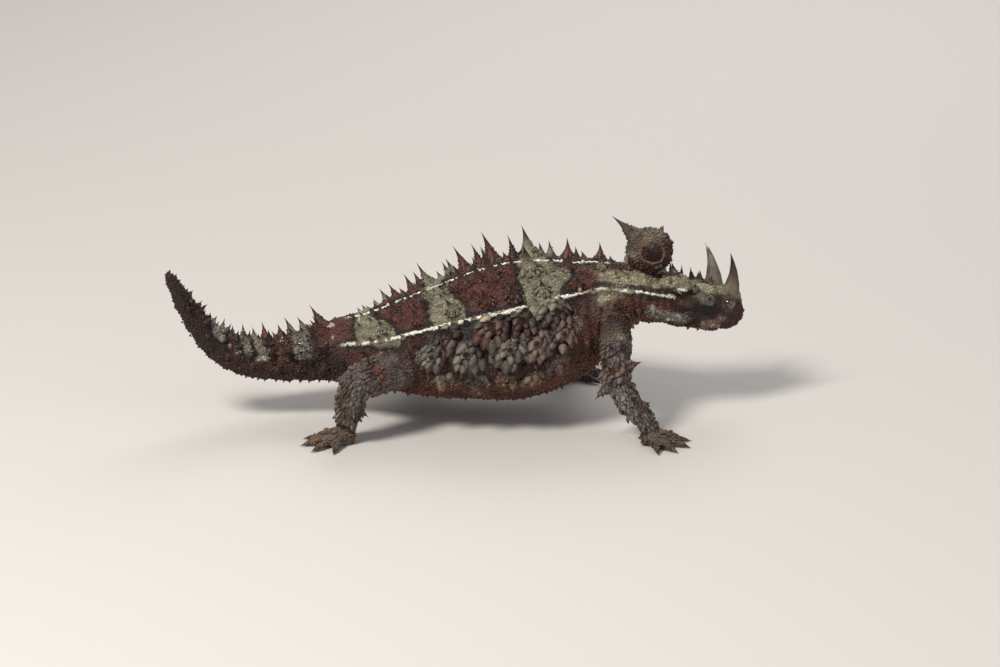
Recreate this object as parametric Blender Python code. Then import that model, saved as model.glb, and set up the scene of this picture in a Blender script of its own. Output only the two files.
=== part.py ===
"""Thorny devil (Moloch horridus), life size, walking, as a still model.

The body is modelled whole in millimetres as lofted tubes (tail, trunk and neck
as one, then the head, the legs and the toes), the conical spines are united
with it, and thin cuts part it into named pieces.  +X is forward (the head end),
+Y is the animal's left, +Z is up and the soles stand on z = 0.
"""

import math

import bmesh
import bpy
from mathutils import Matrix, Vector

# ---------------------------------------------------------------- dimensions, mm
MM = 0.001
GAP = 0.3  # width of each cut between two pieces
ORIGIN = (-0.678, 1.675)  # point of the ground that becomes the frame's origin

# Body axis: x, y, z of the centre, then half width, height above and below it.
TAIL_TIP = (-75.5, -15.3, 43.6, 0.7, 0.7, 0.7)
BODY = (
    TAIL_TIP,
    (-74.9, -15.0, 41.8, 1.5, 1.5, 1.5),
    (-73.3, -14.0, 38.0, 2.2, 2.2, 2.2),
    (-71.2, -12.5, 33.4, 2.9, 2.9, 2.9),
    (-68.5, -11.0, 28.3, 3.6, 3.4, 3.4),
    (-65.0, -9.0, 23.2, 4.3, 4.2, 4.1),
    (-60.6, -7.0, 19.2, 5.0, 4.7, 4.6),
    (-54.4, -4.5, 16.6, 5.9, 5.4, 5.3),
    (-44.3, -1.5, 15.6, 7.2, 6.2, 6.1),
    (-36.6, -0.5, 16.6, 8.8, 7.5, 7.3),
    (-31.0, 0.0, 17.3, 10.8, 8.7, 8.4),
    (-25.0, 0.0, 18.0, 13.8, 9.4, 9.6),
    (-18.0, 0.0, 19.0, 18.2, 10.9, 12.0),
    (-8.0, 0.0, 20.5, 22.2, 13.6, 14.6),
    (5.0, 0.0, 21.6, 24.2, 17.8, 16.2),
    (16.0, 0.0, 22.8, 24.2, 19.3, 17.2),
    (26.0, 0.0, 25.4, 21.8, 18.0, 16.0),
    (34.0, 0.0, 28.2, 18.0, 15.1, 13.0),
    (40.0, 0.0, 30.8, 14.4, 12.2, 10.2),
    (46.0, 0.1, 32.4, 11.2, 8.4, 6.8),
    (51.5, 0.3, 32.0, 9.8, 7.0, 6.6),
    (56.0, 0.5, 31.2, 8.6, 6.6, 6.2),
)
BODY_SIDES = 18
BODY_RINGS = 46

# Head: its own axis starts at HEAD_AT and is turned, dipped and rolled.
HEAD_AT = (55.9, 0.5, 30.6)
HEAD_YAW = 24.0  # towards the left
HEAD_DIP = 22.0  # snout down
HEAD_ROLL = 6.0  # left side down
# forward, up, half width, height above and below
HEAD = (
    (-3.0, 0.0, 7.0, 6.0, 5.6),
    (1.0, 0.4, 8.6, 6.9, 6.6),
    (5.0, 0.8, 8.9, 7.0, 6.6),
    (9.0, 1.2, 8.4, 6.9, 6.2),
    (12.5, 1.4, 7.4, 6.7, 5.6),
    (15.5, 1.0, 5.9, 5.9, 4.6),
    (18.0, 1.0, 5.0, 5.1, 4.2),
    (19.9, 1.6, 4.2, 3.9, 3.5),
    (20.9, 1.8, 3.2, 2.5, 2.5),
    (21.5, 1.8, 1.4, 1.0, 1.1),
)
HEAD_SIDES = 16
HEAD_RINGS = 20
EYE_AT = (13.6, 6.2, 4.2)  # forward, to each side, up
EYE_RADIUS = 1.55
HORN_ROOT = (14.2, 4.6, 6.6)
HORN_TIP = (9.6, 6.6, 17.4)
HORN_RADIUS = 3.0
BROW_AT = (14.8, 3.8, 5.6)  # boss that carries each horn
BROW_SIZE = (3.5, 2.1, 3.2)

# Knob on the nape, with one great spine to each side.
KNOB_AT = (50.2, 0.3, 44.9)
KNOB_SIZE = (6.5, 6.6, 6.2)

# Legs: joints from the trunk outwards and the radius at each one.
LEGS = {
    "front_right": ((38.5, -8.0, 28.5), (41.0, -14.5, 26.0), (41.8, -23.0, 15.2), (49.6, -25.6, 5.2)),
    "front_left": ((38.0, 8.0, 28.5), (36.8, 15.0, 26.4), (29.6, 27.4, 15.6), (29.6, 27.2, 5.2)),
    "hind_right": ((-12.0, -7.0, 18.5), (-15.0, -16.5, 18.0), (-26.0, -27.0, 17.0), (-29.0, -25.0, 6.0)),
    "hind_left": ((-12.4, 6.5, 18.2), (-11.2, 17.0, 18.4), (-4.2, 29.8, 17.3), (-7.8, 28.2, 5.8)),
}
# Where each limb is parted from the trunk: share of the way from its second to its third joint, and the plate's facing.
LEG_PARTING = {
    "front_right": (0.27, (0.06, -0.66, -0.75)),
    "front_left": (0.50, (-0.16, 0.90, -0.40)),
    "hind_right": (0.42, (-0.45, -0.88, -0.05)),
    "hind_left": (0.60, (0.08, 0.99, 0.03)),
}
LEG_RADII = {"front": (5.0, 4.6, 3.4, 2.7), "hind": (6.4, 5.8, 4.2, 3.1)}
LEG_SIDES = 9
# Foot: heading of the middle toe in degrees from +X, palm size, toe length.
FOOT_HEADING = {"front_right": -22.0, "front_left": 24.0, "hind_right": 196.0, "hind_left": 28.0}
PALM = {"front": (3.9, 3.1, 2.6), "hind": (4.4, 3.3, 2.8)}
TOE_FAN = (-62.0, -30.0, 0.0, 30.0, 64.0)
TOE_LENGTH = {"front": (3.1, 3.9, 4.3, 3.9, 2.9), "hind": (2.9, 3.8, 4.6, 4.5, 3.2)}
TOE_RADIUS = 0.95
CLAW_LENGTH = 2.5
CLAW_RADIUS = 0.62

# Spine rows on the trunk: angle from the back line, lean towards the tail, and
# for each spine its place along x, its height and its base radius.
TRUNK_ROWS = (
    (17.0, 12.0, ((41.0, 4.6, 1.9), (33.6, 5.6, 2.1), (29.0, 4.4, 1.6), (23.0, 8.4, 3.6), (17.8, 6.0, 1.7),
                  (10.4, 8.0, 2.8), (6.4, 5.6, 1.7), (2.0, 6.4, 2.3), (-2.2, 3.8, 1.6), (-7.2, 6.0, 2.0),
                  (-11.0, 4.6, 1.5), (-15.4, 3.8, 1.6))),
    (41.0, 13.0, ((35.2, 4.2, 2.2), (26.0, 4.8, 2.5), (17.0, 5.4, 2.8), (8.0, 5.4, 2.6), (-1.0, 4.8, 2.4),
                  (-9.6, 4.6, 2.2), (-18.4, 3.8, 1.9))),
    (63.0, 13.0, ((27.8, 4.8, 2.8), (18.6, 5.0, 2.6), (9.6, 5.8, 3.1), (-1.8, 4.8, 2.6), (-10.4, 4.6, 2.2))),
    (82.0, 14.0, ((28.0, 4.2, 2.6), (21.0, 4.6, 2.6), (13.8, 5.0, 3.0), (2.0, 5.0, 2.9), (-7.0, 4.2, 2.4))),
    (116.0, 8.0, ((24.4, 3.0, 1.9), (17.4, 3.4, 2.0), (12.8, 3.0, 1.7), (3.6, 3.6, 2.2), (-5.0, 3.4, 2.0))),
)
# Spine rows on the tail: angle from its top line, first and last place, count,
# height and radius at the base end and at the tip end.
TAIL_ROWS = (
    (20.0, 3, 12, (5.6, 2.1), (1.5, 0.8)),
    (62.0, 2, 9, (4.6, 2.2), (1.4, 0.8)),
    (102.0, 2, 7, (3.2, 1.8), (1.3, 0.8)),
)
TAIL_FROM, TAIL_TO = -34.5, -73.4

FLAT_ANGLE = 12.0  # neighbouring facets closer to flat than this, in degrees, become one

# Cuts: the x of each plane across the body axis, and its half size.
BODY_CUTS = ((45.0, 13.5), (10.2, 26.0), (-31.4, 13.0), (-47.6, 9.5), (-63.2, 7.5))


# ------------------------------------------------------------------- small tools
def clear_scene():
    for obj in list(bpy.data.objects):
        bpy.data.objects.remove(obj, do_unlink=True)


def smooth_steps(table, count):
    """Evenly spaced rows along a Catmull-Rom curve through the table's rows."""
    rows = [list(map(float, row)) for row in table]
    spans = len(rows) - 1
    fine = []
    for i in range(spans):
        p0 = rows[max(i - 1, 0)]
        p1, p2 = rows[i], rows[i + 1]
        p3 = rows[min(i + 2, spans)]
        for k in range(12):
            t = k / 12.0
            fine.append([
                0.5 * (2 * b + (c - a) * t + (2 * a - 5 * b + 4 * c - d) * t * t + (3 * b - a - 3 * c + d) * t ** 3)
                for a, b, c, d in zip(p0, p1, p2, p3)
            ])
    fine.append(rows[-1])
    if not count:
        return fine
    lengths = [0.0]
    for a, b in zip(fine, fine[1:]):
        # The square root of the girth keeps rings closer where the tube is thin.
        lengths.append(lengths[-1] + math.dist(a[:3], b[:3]) / math.sqrt(2.0 + a[3]))
    out = []
    for k in range(count):
        want = lengths[-1] * k / (count - 1)
        j = 0
        while j < len(fine) - 2 and lengths[j + 1] < want:
            j += 1
        f = (want - lengths[j]) / max(lengths[j + 1] - lengths[j], 1e-9)
        out.append([a + (b - a) * f for a, b in zip(fine[j], fine[j + 1])])
    return out


def tangent(rows, i):
    a = rows[max(i - 1, 0)]
    b = rows[min(i + 1, len(rows) - 1)]
    return Vector(b[:3]) - Vector(a[:3])


def section(centre, along, half_width, above, below, angle):
    """Point of an oval section: angle 0 is its top, 90 the right side."""
    along = along.normalized()
    side = along.cross(Vector((0, 0, 1))).normalized()  # towards the right
    up = side.cross(along)
    c, s = math.cos(angle), math.sin(angle)
    return centre + side * (half_width * s) + up * ((above if c > 0 else below) * c)


def body_rows(count):
    return smooth_steps(BODY, count)


BODY_FINE = body_rows(0)


def body_point(x, degrees, side):
    """Surface point and outward normal of the body at x, for the right (+1) or left (-1)."""
    i = 1
    while i < len(BODY_FINE) - 2 and BODY_FINE[i][0] < x:
        i += 1
    row = BODY_FINE[i]
    along = tangent(BODY_FINE, i)
    a = math.radians(degrees) * side
    centre = Vector(row[:3])
    here = section(centre, along, row[3], row[4], row[5], a)
    ahead = BODY_FINE[i + 1]
    onward = section(Vector(ahead[:3]), tangent(BODY_FINE, i + 1), ahead[3], ahead[4], ahead[5], a)
    round_it = section(centre, along, row[3], row[4], row[5], a + 0.03) - here
    normal = (onward - here).cross(round_it).normalized()
    if normal.dot(here - centre) < 0:
        normal = -normal
    return here, normal, -along.normalized()


def add_object(name, mesh):
    obj = bpy.data.objects.new(name, mesh)
    bpy.context.scene.collection.objects.link(obj)
    return obj


def from_bmesh(name, bm):
    bmesh.ops.triangulate(bm, faces=bm.faces)
    bmesh.ops.recalc_face_normals(bm, faces=bm.faces)
    mesh = bpy.data.meshes.new(name)
    bm.to_mesh(mesh)
    bm.free()
    return add_object(name, mesh)


def loft(name, rings, round_ends=True):
    """Closed tube through rings of points, each end closed by a fan."""
    bm = bmesh.new()
    made = [[bm.verts.new(p) for p in ring] for ring in rings]
    n = len(made[0])
    for a, b in zip(made, made[1:]):
        for k in range(n):
            bm.faces.new((a[k], a[(k + 1) % n], b[(k + 1) % n], b[k]))
    for ring in (made[0], made[-1]):
        middle = bm.verts.new(sum((v.co for v in ring), Vector()) / n)
        for k in range(n):
            bm.faces.new((ring[k], ring[(k + 1) % n], middle))
    return from_bmesh(name, bm)


def tube(name, joints, radii, sides, rings):
    """Round limb through joints, with domed ends."""
    table = [tuple(p) + (r,) for p, r in zip(joints, radii)]
    rows = smooth_steps(table, rings)
    loops = []
    for i, row in enumerate(rows):
        along = tangent(rows, i).normalized()
        side = along.cross(Vector((0.13, 0.07, 1))).normalized()
        up = side.cross(along)
        centre = Vector(row[:3])
        loops.append([
            centre + row[3] * (side * math.cos(2 * math.pi * k / sides) + up * math.sin(2 * math.pi * k / sides))
            for k in range(sides)
        ])
    first, last = Vector(rows[0][:3]), Vector(rows[-1][:3])
    back, onward = -tangent(rows, 0).normalized(), tangent(rows, len(rows) - 1).normalized()
    r0, r1 = rows[0][3], rows[-1][3]
    start = [first + (p - first) * 0.66 + back * r0 * 0.66 for p in loops[0]]
    end = [last + (p - last) * 0.66 + onward * r1 * 0.66 for p in loops[-1]]
    loops = [start] + loops + [end]
    return loft(name, loops)


def ball(name, at, size, turn=0.0, segments=12, rings=8):
    bm = bmesh.new()
    bmesh.ops.create_uvsphere(bm, u_segments=segments, v_segments=rings, radius=1.0)
    bm.transform(Matrix.Translation(at) @ Matrix.Rotation(turn, 4, "Z") @ Matrix.Diagonal((*size, 1.0)))
    return from_bmesh(name, bm)


def spike(bm, root, axis, bend, height, radius, sides=6, steps=(0.0, 0.3, 0.66), flat=1.0):
    """Horn-like cone with a hollow flare: broad at its foot, thin and sharp at its tip."""
    axis = axis.normalized()
    side = axis.cross(bend).normalized() if axis.cross(bend).length > 1e-3 else axis.orthogonal().normalized()
    other = side.cross(axis)
    start = root - axis * radius * 0.55
    length = height + radius * 0.55
    rings = []
    for t in steps:
        r = radius * (1.0 - t) ** 1.45 + 0.02
        centre = start + axis * length * t + bend * (length * t * t)
        rings.append([
            bm.verts.new(centre + r * (side * math.cos(2 * math.pi * k / sides) + other * flat * math.sin(2 * math.pi * k / sides)))
            for k in range(sides)
        ])
    tip = bm.verts.new(start + axis * length + bend * length)
    for a, b in zip(rings, rings[1:]):
        for k in range(sides):
            bm.faces.new((a[k], a[(k + 1) % sides], b[(k + 1) % sides], b[k]))
    for k in range(sides):
        bm.faces.new((rings[-1][k], rings[-1][(k + 1) % sides], tip))
    bm.faces.new(list(reversed(rings[0])))
    return tip.co.copy()


def slab(bm, at, normal, half):
    """Thin square plate, GAP thick, that parts two pieces."""
    turn = normal.to_track_quat("Z", "Y").to_matrix().to_4x4()
    size = Matrix.Diagonal((2 * half[0], 2 * half[1], GAP, 1.0))
    bmesh.ops.create_cube(bm, size=1.0, matrix=Matrix.Translation(at) @ turn @ size)


def closed_volume(mesh):
    """Volume inside a mesh and its count of bodies, or None where it isn't closed."""
    bm = bmesh.new()
    bm.from_mesh(mesh)
    found = (bm.calc_volume(signed=True), len(islands(bm))) if all(edge.is_manifold for edge in bm.edges) else None
    bm.free()
    return found


def combined(target, other, operation, solver):
    mod = target.modifiers.new("cut", "BOOLEAN")
    mod.operation = operation
    mod.solver = solver
    mod.object = other
    graph = bpy.context.evaluated_depsgraph_get()
    mesh = bpy.data.meshes.new_from_object(target.evaluated_get(graph))
    target.modifiers.clear()
    bm = bmesh.new()
    bm.from_mesh(mesh)
    bmesh.ops.triangulate(bm, faces=bm.faces)
    bmesh.ops.remove_doubles(bm, verts=bm.verts, dist=0.0004)
    bmesh.ops.dissolve_degenerate(bm, dist=0.0004, edges=bm.edges)
    bmesh.ops.triangulate(bm, faces=bm.faces)
    bm.to_mesh(mesh)
    bm.free()
    return mesh


def boolean(target, other, operation, parts=0):
    """Unites or subtracts a helper.  Where the exact solver fails on nearly coincident faces, the manifold one takes over."""
    (before, bodies), part = closed_volume(target.data), abs(closed_volume(other.data)[0])
    for attempt in range(8):
        mesh = combined(target, other, operation, "MANIFOLD" if attempt % 2 else "EXACT")
        after = closed_volume(mesh)
        if after is not None:
            change = (after[0] - before) * (1 if operation == "UNION" else -1)
            if -0.02 < change < part * 1.001 + 0.02 and (after[1] >= bodies + parts if operation == "DIFFERENCE" else after[1] == 1):
                break
        other.data.transform(Matrix.Translation((0.011, 0.007 * (-1) ** attempt, 0.013)))
        bpy.context.view_layer.update()
    else:
        raise RuntimeError(f"{other.name} doesn't combine cleanly near {tuple(other.data.vertices[0].co)}")
    target.data = mesh
    bpy.data.objects.remove(other, do_unlink=True)


def islands(bm):
    """The closed bodies of a mesh, as lists of faces."""
    left = set(bm.faces)
    found = []
    while left:
        seed = min(left, key=lambda f: f.index)
        left.discard(seed)
        group, stack = [], [seed]
        while stack:
            face = stack.pop()
            group.append(face)
            for edge in face.edges:
                for nearby in edge.link_faces:
                    if nearby in left:
                        left.discard(nearby)
                        stack.append(nearby)
        found.append(group)
    return found


def boolean_each(target, bm, operation):
    """Applies each closed body of a mesh in turn, so that bodies may meet each other."""
    bm.faces.index_update()
    for group in islands(bm):
        piece = bmesh.new()
        table = {}
        for face in sorted(group, key=lambda f: f.index):
            for vert in face.verts:
                if vert not in table:
                    table[vert] = piece.verts.new(vert.co)
            piece.faces.new([table[v] for v in face.verts])
        boolean(target, from_bmesh("helper", piece), operation, 1)
    bm.free()


# --------------------------------------------------------------------- the head
def head_matrix():
    yaw = Matrix.Rotation(math.radians(HEAD_YAW), 4, "Z")
    dip = Matrix.Rotation(math.radians(HEAD_DIP), 4, "Y")
    roll = Matrix.Rotation(math.radians(-HEAD_ROLL), 4, "X")
    return Matrix.Translation(HEAD_AT) @ yaw @ dip @ roll


HEAD_TO_BODY = head_matrix()


def head_place(p):
    return HEAD_TO_BODY @ Vector(p)


def head_dir(p):
    return (HEAD_TO_BODY.to_3x3() @ Vector(p)).normalized()


def make_head():
    table = [(f, 0.0, u, w, a, b) for f, u, w, a, b in HEAD]
    loops = []
    for f, _, u, w, a, b in smooth_steps(table, HEAD_RINGS):
        ring = []
        for k in range(HEAD_SIDES):
            t = 2 * math.pi * (k + 0.5) / HEAD_SIDES
            c, s = math.cos(t), math.sin(t)
            # A little boxy, as the skull is flat on top and under the jaw.
            c = math.copysign(abs(c) ** 0.86, c)
            s = math.copysign(abs(s) ** 0.86, s)
            ring.append(head_place((f, w * s, u + (a if c > 0 else b) * c)))
        loops.append(ring)
    return loft("head_form", loops)


# --------------------------------------------------------------------- the feet
def foot_shapes(leg, cuts, claws):
    kind = leg.split("_")[0]
    ankle = Vector(LEGS[leg][3])
    heading = math.radians(FOOT_HEADING[leg])
    ahead = Vector((math.cos(heading), math.sin(heading), 0))
    palm = PALM[kind]
    middle = Vector((ankle.x, ankle.y, 0)) + ahead * palm[0] * 0.45 + Vector((0, 0, 1.7))
    shapes = [ball(leg + "_palm", middle, palm, heading, 10, 7)]
    for k, spread in enumerate(TOE_FAN):
        sweep = heading + math.radians(spread)
        way = Vector((math.cos(sweep), math.sin(sweep), 0))
        across = Vector((-math.sin(heading), math.cos(heading), 0))
        start = middle + ahead * palm[0] * 0.38 * math.cos(math.radians(spread)) + across * palm[1] * 0.72 * math.sin(math.radians(spread))
        start.z = 1.55
        reach = palm[0] * 0.4 + TOE_LENGTH[kind][k]
        end = start + way * reach
        end.z = 0.95
        mid = (start + end) / 2 + Vector((0, 0, 0.25))
        shapes.append(tube(f"{leg}_toe_{k}", (start, mid, end), (TOE_RADIUS * 1.25, TOE_RADIUS * 1.12, TOE_RADIUS * 0.95), 7, 3))
        # The claw grows out of the toe's end and is parted from it by a plate.
        tip_way = (way + Vector((0, 0, -0.12))).normalized()
        base = end + tip_way * (TOE_RADIUS * 0.45)
        spike(claws, base, tip_way, Vector((0, 0, -0.1)), CLAW_LENGTH, CLAW_RADIUS, 6, (0.0, 0.5))
        slab(cuts, end + tip_way * (TOE_RADIUS * 0.92), tip_way, (1.05, 1.05))
    return shapes


# ------------------------------------------------------------------ the spines
def near_cut(x, radius):
    return any(abs(x - at) < radius + 0.9 for at, _ in BODY_CUTS)


def near_limb(point, room):
    """Whether a point lies inside or within some room of a limb."""
    for leg, joints in LEGS.items():
        radii = LEG_RADII[leg.split("_")[0]]
        for i in (1, 2):
            a, b = Vector(joints[i]), Vector(joints[i + 1])
            share = min(max((point - a).dot(b - a) / (b - a).length_squared, 0.0), 1.0)
            if (point - a.lerp(b, share)).length < radii[i] + (radii[i + 1] - radii[i]) * share + room:
                return True
    return False


def trunk_spines(bm):
    for degrees, lean, places in TRUNK_ROWS:
        for x, height, radius in places:
            for side in (1, -1):
                if near_cut(x, radius):
                    continue
                at, normal, back = body_point(x, degrees, side)
                axis = (normal + Vector((0, 0, 0.18 if degrees < 100 else -0.25))).normalized()
                if near_limb(at + axis * height * 0.5, radius * 0.7 + 0.4) or near_limb(at + axis * height, 0.5):
                    continue
                spike(bm, at, axis, back * math.tan(math.radians(lean)) * 0.8, height, radius)


def tail_spines(bm):
    for degrees, first, count, (h0, r0), (h1, r1) in TAIL_ROWS:
        for k in range(count):
            t = (k + 0.35) / count
            x = TAIL_FROM + (TAIL_TO - TAIL_FROM) * (1 - (1 - t) ** 1.25)
            radius = r0 + (r1 - r0) * t
            height = (h0 + (h1 - h0) * t) * (1.0 if k % 2 == 0 else 0.72)
            if near_cut(x, radius):
                continue
            for side in (1, -1):
                at, normal, back = body_point(x, degrees, side)
                spike(bm, at, normal, back * 0.16, height, radius, 5, (0.0, 0.4))


HEAD_SPINES = (
    # forward, side, up of the root; direction; height, radius
    ((3.0, 5.6, 6.2), (-0.35, 0.5, 1.0), 4.6, 2.6),
    ((8.6, 2.6, 7.6), (-0.2, 0.2, 1.0), 2.6, 1.1),
    ((5.4, 2.2, 7.5), (-0.3, 0.15, 1.0), 3.0, 1.2),
    ((-0.4, 2.4, 6.6), (-0.3, 0.3, 1.0), 4.2, 1.3),
    ((6.2, 8.4, 3.6), (-0.3, 1.0, 0.25), 3.4, 2.0),
    ((2.0, 8.6, -1.6), (-0.2, 1.0, -0.2), 2.8, 1.9),
    ((9.6, 7.0, -3.4), (0.1, 1.0, -0.45), 1.4, 1.1),
    ((17.6, 2.2, 3.8), (0.5, 0.3, 1.0), 0.9, 0.8),
)


def head_spines(bm):
    for at, way, height, radius in HEAD_SPINES:
        for side in (-1, 1):
            root = head_place((at[0], at[1] * side, at[2]))
            spike(bm, root, head_dir((way[0], way[1] * side, way[2])), head_dir((-1, 0, 0)) * 0.12, height, radius, 6, (0.0, 0.4))


def horn(bm, side):
    root = head_place((HORN_ROOT[0], HORN_ROOT[1] * side, HORN_ROOT[2]))
    tip = head_place((HORN_TIP[0], HORN_TIP[1] * side, HORN_TIP[2]))
    bend = head_dir((-1, 0, 0)) * 0.3
    axis = tip - root - bend * (tip - root).length
    spike(bm, root, axis, bend, axis.length - HORN_RADIUS * 0.3, HORN_RADIUS, 8, (0.0, 0.16, 0.36, 0.58, 0.8))


KNOB_SPINES = (
    # direction from the knob's middle, height above it, base radius
    ((-0.72, 0.52, 0.60), 7.0, 2.9),
    ((0.10, -0.93, 0.20), 4.4, 2.6),
    ((0.55, 0.25, 0.85), 1.6, 1.2),
    ((0.85, -0.35, 0.45), 1.5, 1.2),
    ((-0.15, -0.35, 0.95), 1.5, 1.2),
    ((-0.75, -0.45, 0.50), 1.6, 1.2),
    ((0.30, 0.80, 0.55), 1.8, 1.3),
    ((0.80, -0.45, -0.25), 1.4, 1.1),
    ((-0.70, -0.62, -0.1), 1.5, 1.1),
)


def knob_spines(bm):
    for way, height, radius in KNOB_SPINES:
        way = Vector(way).normalized()
        reach = 1.0 / math.sqrt(sum((c / s) ** 2 for c, s in zip(way, KNOB_SIZE)))
        big = radius > 2
        spike(bm, Vector(KNOB_AT) + way * reach * 0.97, way, Vector((-0.12, 0, 0.02)), height, radius, 7 if big else 5, (0.0, 0.3, 0.62) if big else (0.0,))


def leg_spines(bm):
    """Two rows of outstanding spines down each limb, on its outer and leading sides."""
    for leg, joints in LEGS.items():
        kind, hand = leg.split("_")
        out = Vector((0, -1.0 if hand == "right" else 1.0, 0))
        radii = LEG_RADII[kind]
        hip, knee, ankle = (Vector(joints[i]) for i in (1, 2, 3))
        backward = Vector((-1, 0, 0)) if leg != "hind_left" else Vector((-0.6, 0, 0.2))
        ahead = -backward
        places = (
            (hip, knee, 0.38, radii[1], radii[2], (out * 0.55 + Vector((0, 0, 1.0)) + backward * 0.3), 3.6, 2.1),
            (hip, knee, 0.66, radii[1], radii[2], (ahead * 0.9 + out * 0.5), 3.6, 2.0),
            (hip, knee, 0.84, radii[1], radii[2], (out * 0.8 + Vector((0, 0, 0.9)) + backward * 0.5), 4.2, 2.0),
            (knee, ankle, -0.10, radii[2], radii[3], (backward * 1.0 + out * 0.35 + Vector((0, 0, -0.35))), 4.4, 1.9),
            (knee, ankle, 0.36, radii[2], radii[3], (out * 1.0 + ahead * 0.35 + Vector((0, 0, 0.2))), 2.6, 1.7),
            (knee, ankle, 0.62, radii[2], radii[3], (ahead * 0.9 + out * 0.5), 2.4, 1.4),
        )
        for a, b, t, ra, rb, way, height, radius in places:
            line = (b - a).normalized()
            way = (way - line * way.dot(line)).normalized()
            at = a.lerp(b, t) + way * (ra + (rb - ra) * t) * 0.92
            spike(bm, at, way, (-line if t > 0.5 and a is hip else line) * 0.1, height, radius, 5, (0.0, 0.38))


# ------------------------------------------------------------------ whole body
def make_whole():
    rows = body_rows(BODY_RINGS)
    loops = []
    for i, row in enumerate(rows):
        along = tangent(rows, i)
        loops.append([
            section(Vector(row[:3]), along, row[3], row[4], row[5], 2 * math.pi * (k + 0.5) / BODY_SIDES)
            for k in range(BODY_SIDES)
        ])
    whole = loft("whole", loops)
    boolean(whole, make_head(), "UNION")
    for side in (-1, 1):
        brow = ball("brow", Vector((BROW_AT[0], BROW_AT[1] * side, BROW_AT[2])), BROW_SIZE, 0.0, 12, 8)
        brow.data.transform(HEAD_TO_BODY)
        boolean(whole, brow, "UNION")
    boolean(whole, ball("knob", Vector(KNOB_AT), KNOB_SIZE, 0.0, 14, 10), "UNION")

    cuts = bmesh.new()
    claws = bmesh.new()
    for leg, joints in LEGS.items():
        kind = leg.split("_")[0]
        boolean(whole, tube(leg + "_limb", joints, LEG_RADII[kind], LEG_SIDES, 7), "UNION")
        for shape in foot_shapes(leg, cuts, claws):
            boolean(whole, shape, "UNION")
        hip, knee, ankle = (Vector(joints[i]) for i in (1, 2, 3))
        share, facing = LEG_PARTING[leg]
        slab(cuts, hip.lerp(knee, share), Vector(facing), (LEG_RADII[kind][1] + 2.3,) * 2)
        slab(cuts, knee.lerp(ankle, 0.25) + Vector((0, math.copysign(0.9, knee.y), 0)), (knee - hip).normalized() * 0.5 + (ankle - knee).normalized() * 1.6, (LEG_RADII[kind][2] + 2.5,) * 2)
        slab(cuts, knee.lerp(ankle, 0.80), ankle - knee, (LEG_RADII[kind][3] + 1.7,) * 2)

    for x, half in BODY_CUTS:
        at, _, back = body_point(x, 0.0, 1)
        i = min(range(len(BODY_FINE)), key=lambda j: abs(BODY_FINE[j][0] - x))
        slab(cuts, Vector(BODY_FINE[i][:3]), -back, (half, half))
    slab(cuts, head_place((0.6, 0.0, 0.2)), head_dir((1, 0, 0.1)), (11.0, 9.6))
    slab(cuts, Vector((50.0, 0.3, 41.0)), Vector((0.34, 0.0, 0.94)), (7.4, 7.4))

    # The soles are trimmed to one level.
    floor = bmesh.new()
    bmesh.ops.create_cube(floor, size=1.0, matrix=Matrix.Translation((0, 0, -20)) @ Matrix.Diagonal((400, 400, 40, 1)))
    boolean(whole, from_bmesh("floor", floor), "DIFFERENCE")

    spines = bmesh.new()
    trunk_spines(spines)
    tail_spines(spines)
    head_spines(spines)
    knob_spines(spines)
    leg_spines(spines)
    boolean_each(whole, spines, "UNION")
    boolean_each(whole, claws, "UNION")
    for side in (-1, 1):
        bm = bmesh.new()
        horn(bm, side)
        boolean(whole, from_bmesh("horn", bm), "UNION")
        root = Vector((HORN_ROOT[0], HORN_ROOT[1] * side, HORN_ROOT[2]))
        way = Vector((HORN_TIP[0], HORN_TIP[1] * side, HORN_TIP[2])) - root
        slab(cuts, head_place(root + way * 0.26), head_dir(way), (3.0, 3.0))
        socket = ball("socket", head_place((EYE_AT[0], EYE_AT[1] * side, EYE_AT[2])), (EYE_RADIUS + GAP,) * 3, 0.0, 12, 8)
        boolean(whole, socket, "DIFFERENCE")
    boolean_each(whole, cuts, "DIFFERENCE")

    return whole


def names_and_places():
    """A point inside or close to each piece."""
    at = {
        "head": head_place((9, 0, 1)),
        "neck": Vector((50, 0.3, 32)),
        "nuchal_knob": Vector(KNOB_AT),
        "trunk_front": Vector((26, 0, 26)),
        "trunk_rear": Vector((-8, 0, 21)),
        "tail_base": Vector((-39, -1, 16)),
        "tail_middle": Vector((-56, -5, 17)),
        "tail_end": Vector((-70, -11.5, 31)),
    }
    for side, name in ((-1, "right"), (1, "left")):
        root = Vector((HORN_ROOT[0], HORN_ROOT[1] * side, HORN_ROOT[2]))
        tip = Vector((HORN_TIP[0], HORN_TIP[1] * side, HORN_TIP[2]))
        at["horn_" + name] = head_place(root.lerp(tip, 0.4))
    for leg, joints in LEGS.items():
        kind = leg.split("_")[0]
        hip, knee, ankle = (Vector(joints[i]) for i in (1, 2, 3))
        upper, lower, foot = ("upper_arm", "forearm", "hand") if kind == "front" else ("thigh", "shank", "foot")
        hand = leg.split("_")[1]
        at[f"{upper}_{hand}"] = hip.lerp(knee, 0.6)
        at[f"{lower}_{hand}"] = knee.lerp(ankle, 0.5)
        heading = math.radians(FOOT_HEADING[leg])
        ahead = Vector((math.cos(heading), math.sin(heading), 0))
        at[f"{foot}_{hand}"] = Vector((ankle.x, ankle.y, 1.7)) + ahead * PALM[kind][0] * 0.45
    return at


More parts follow.
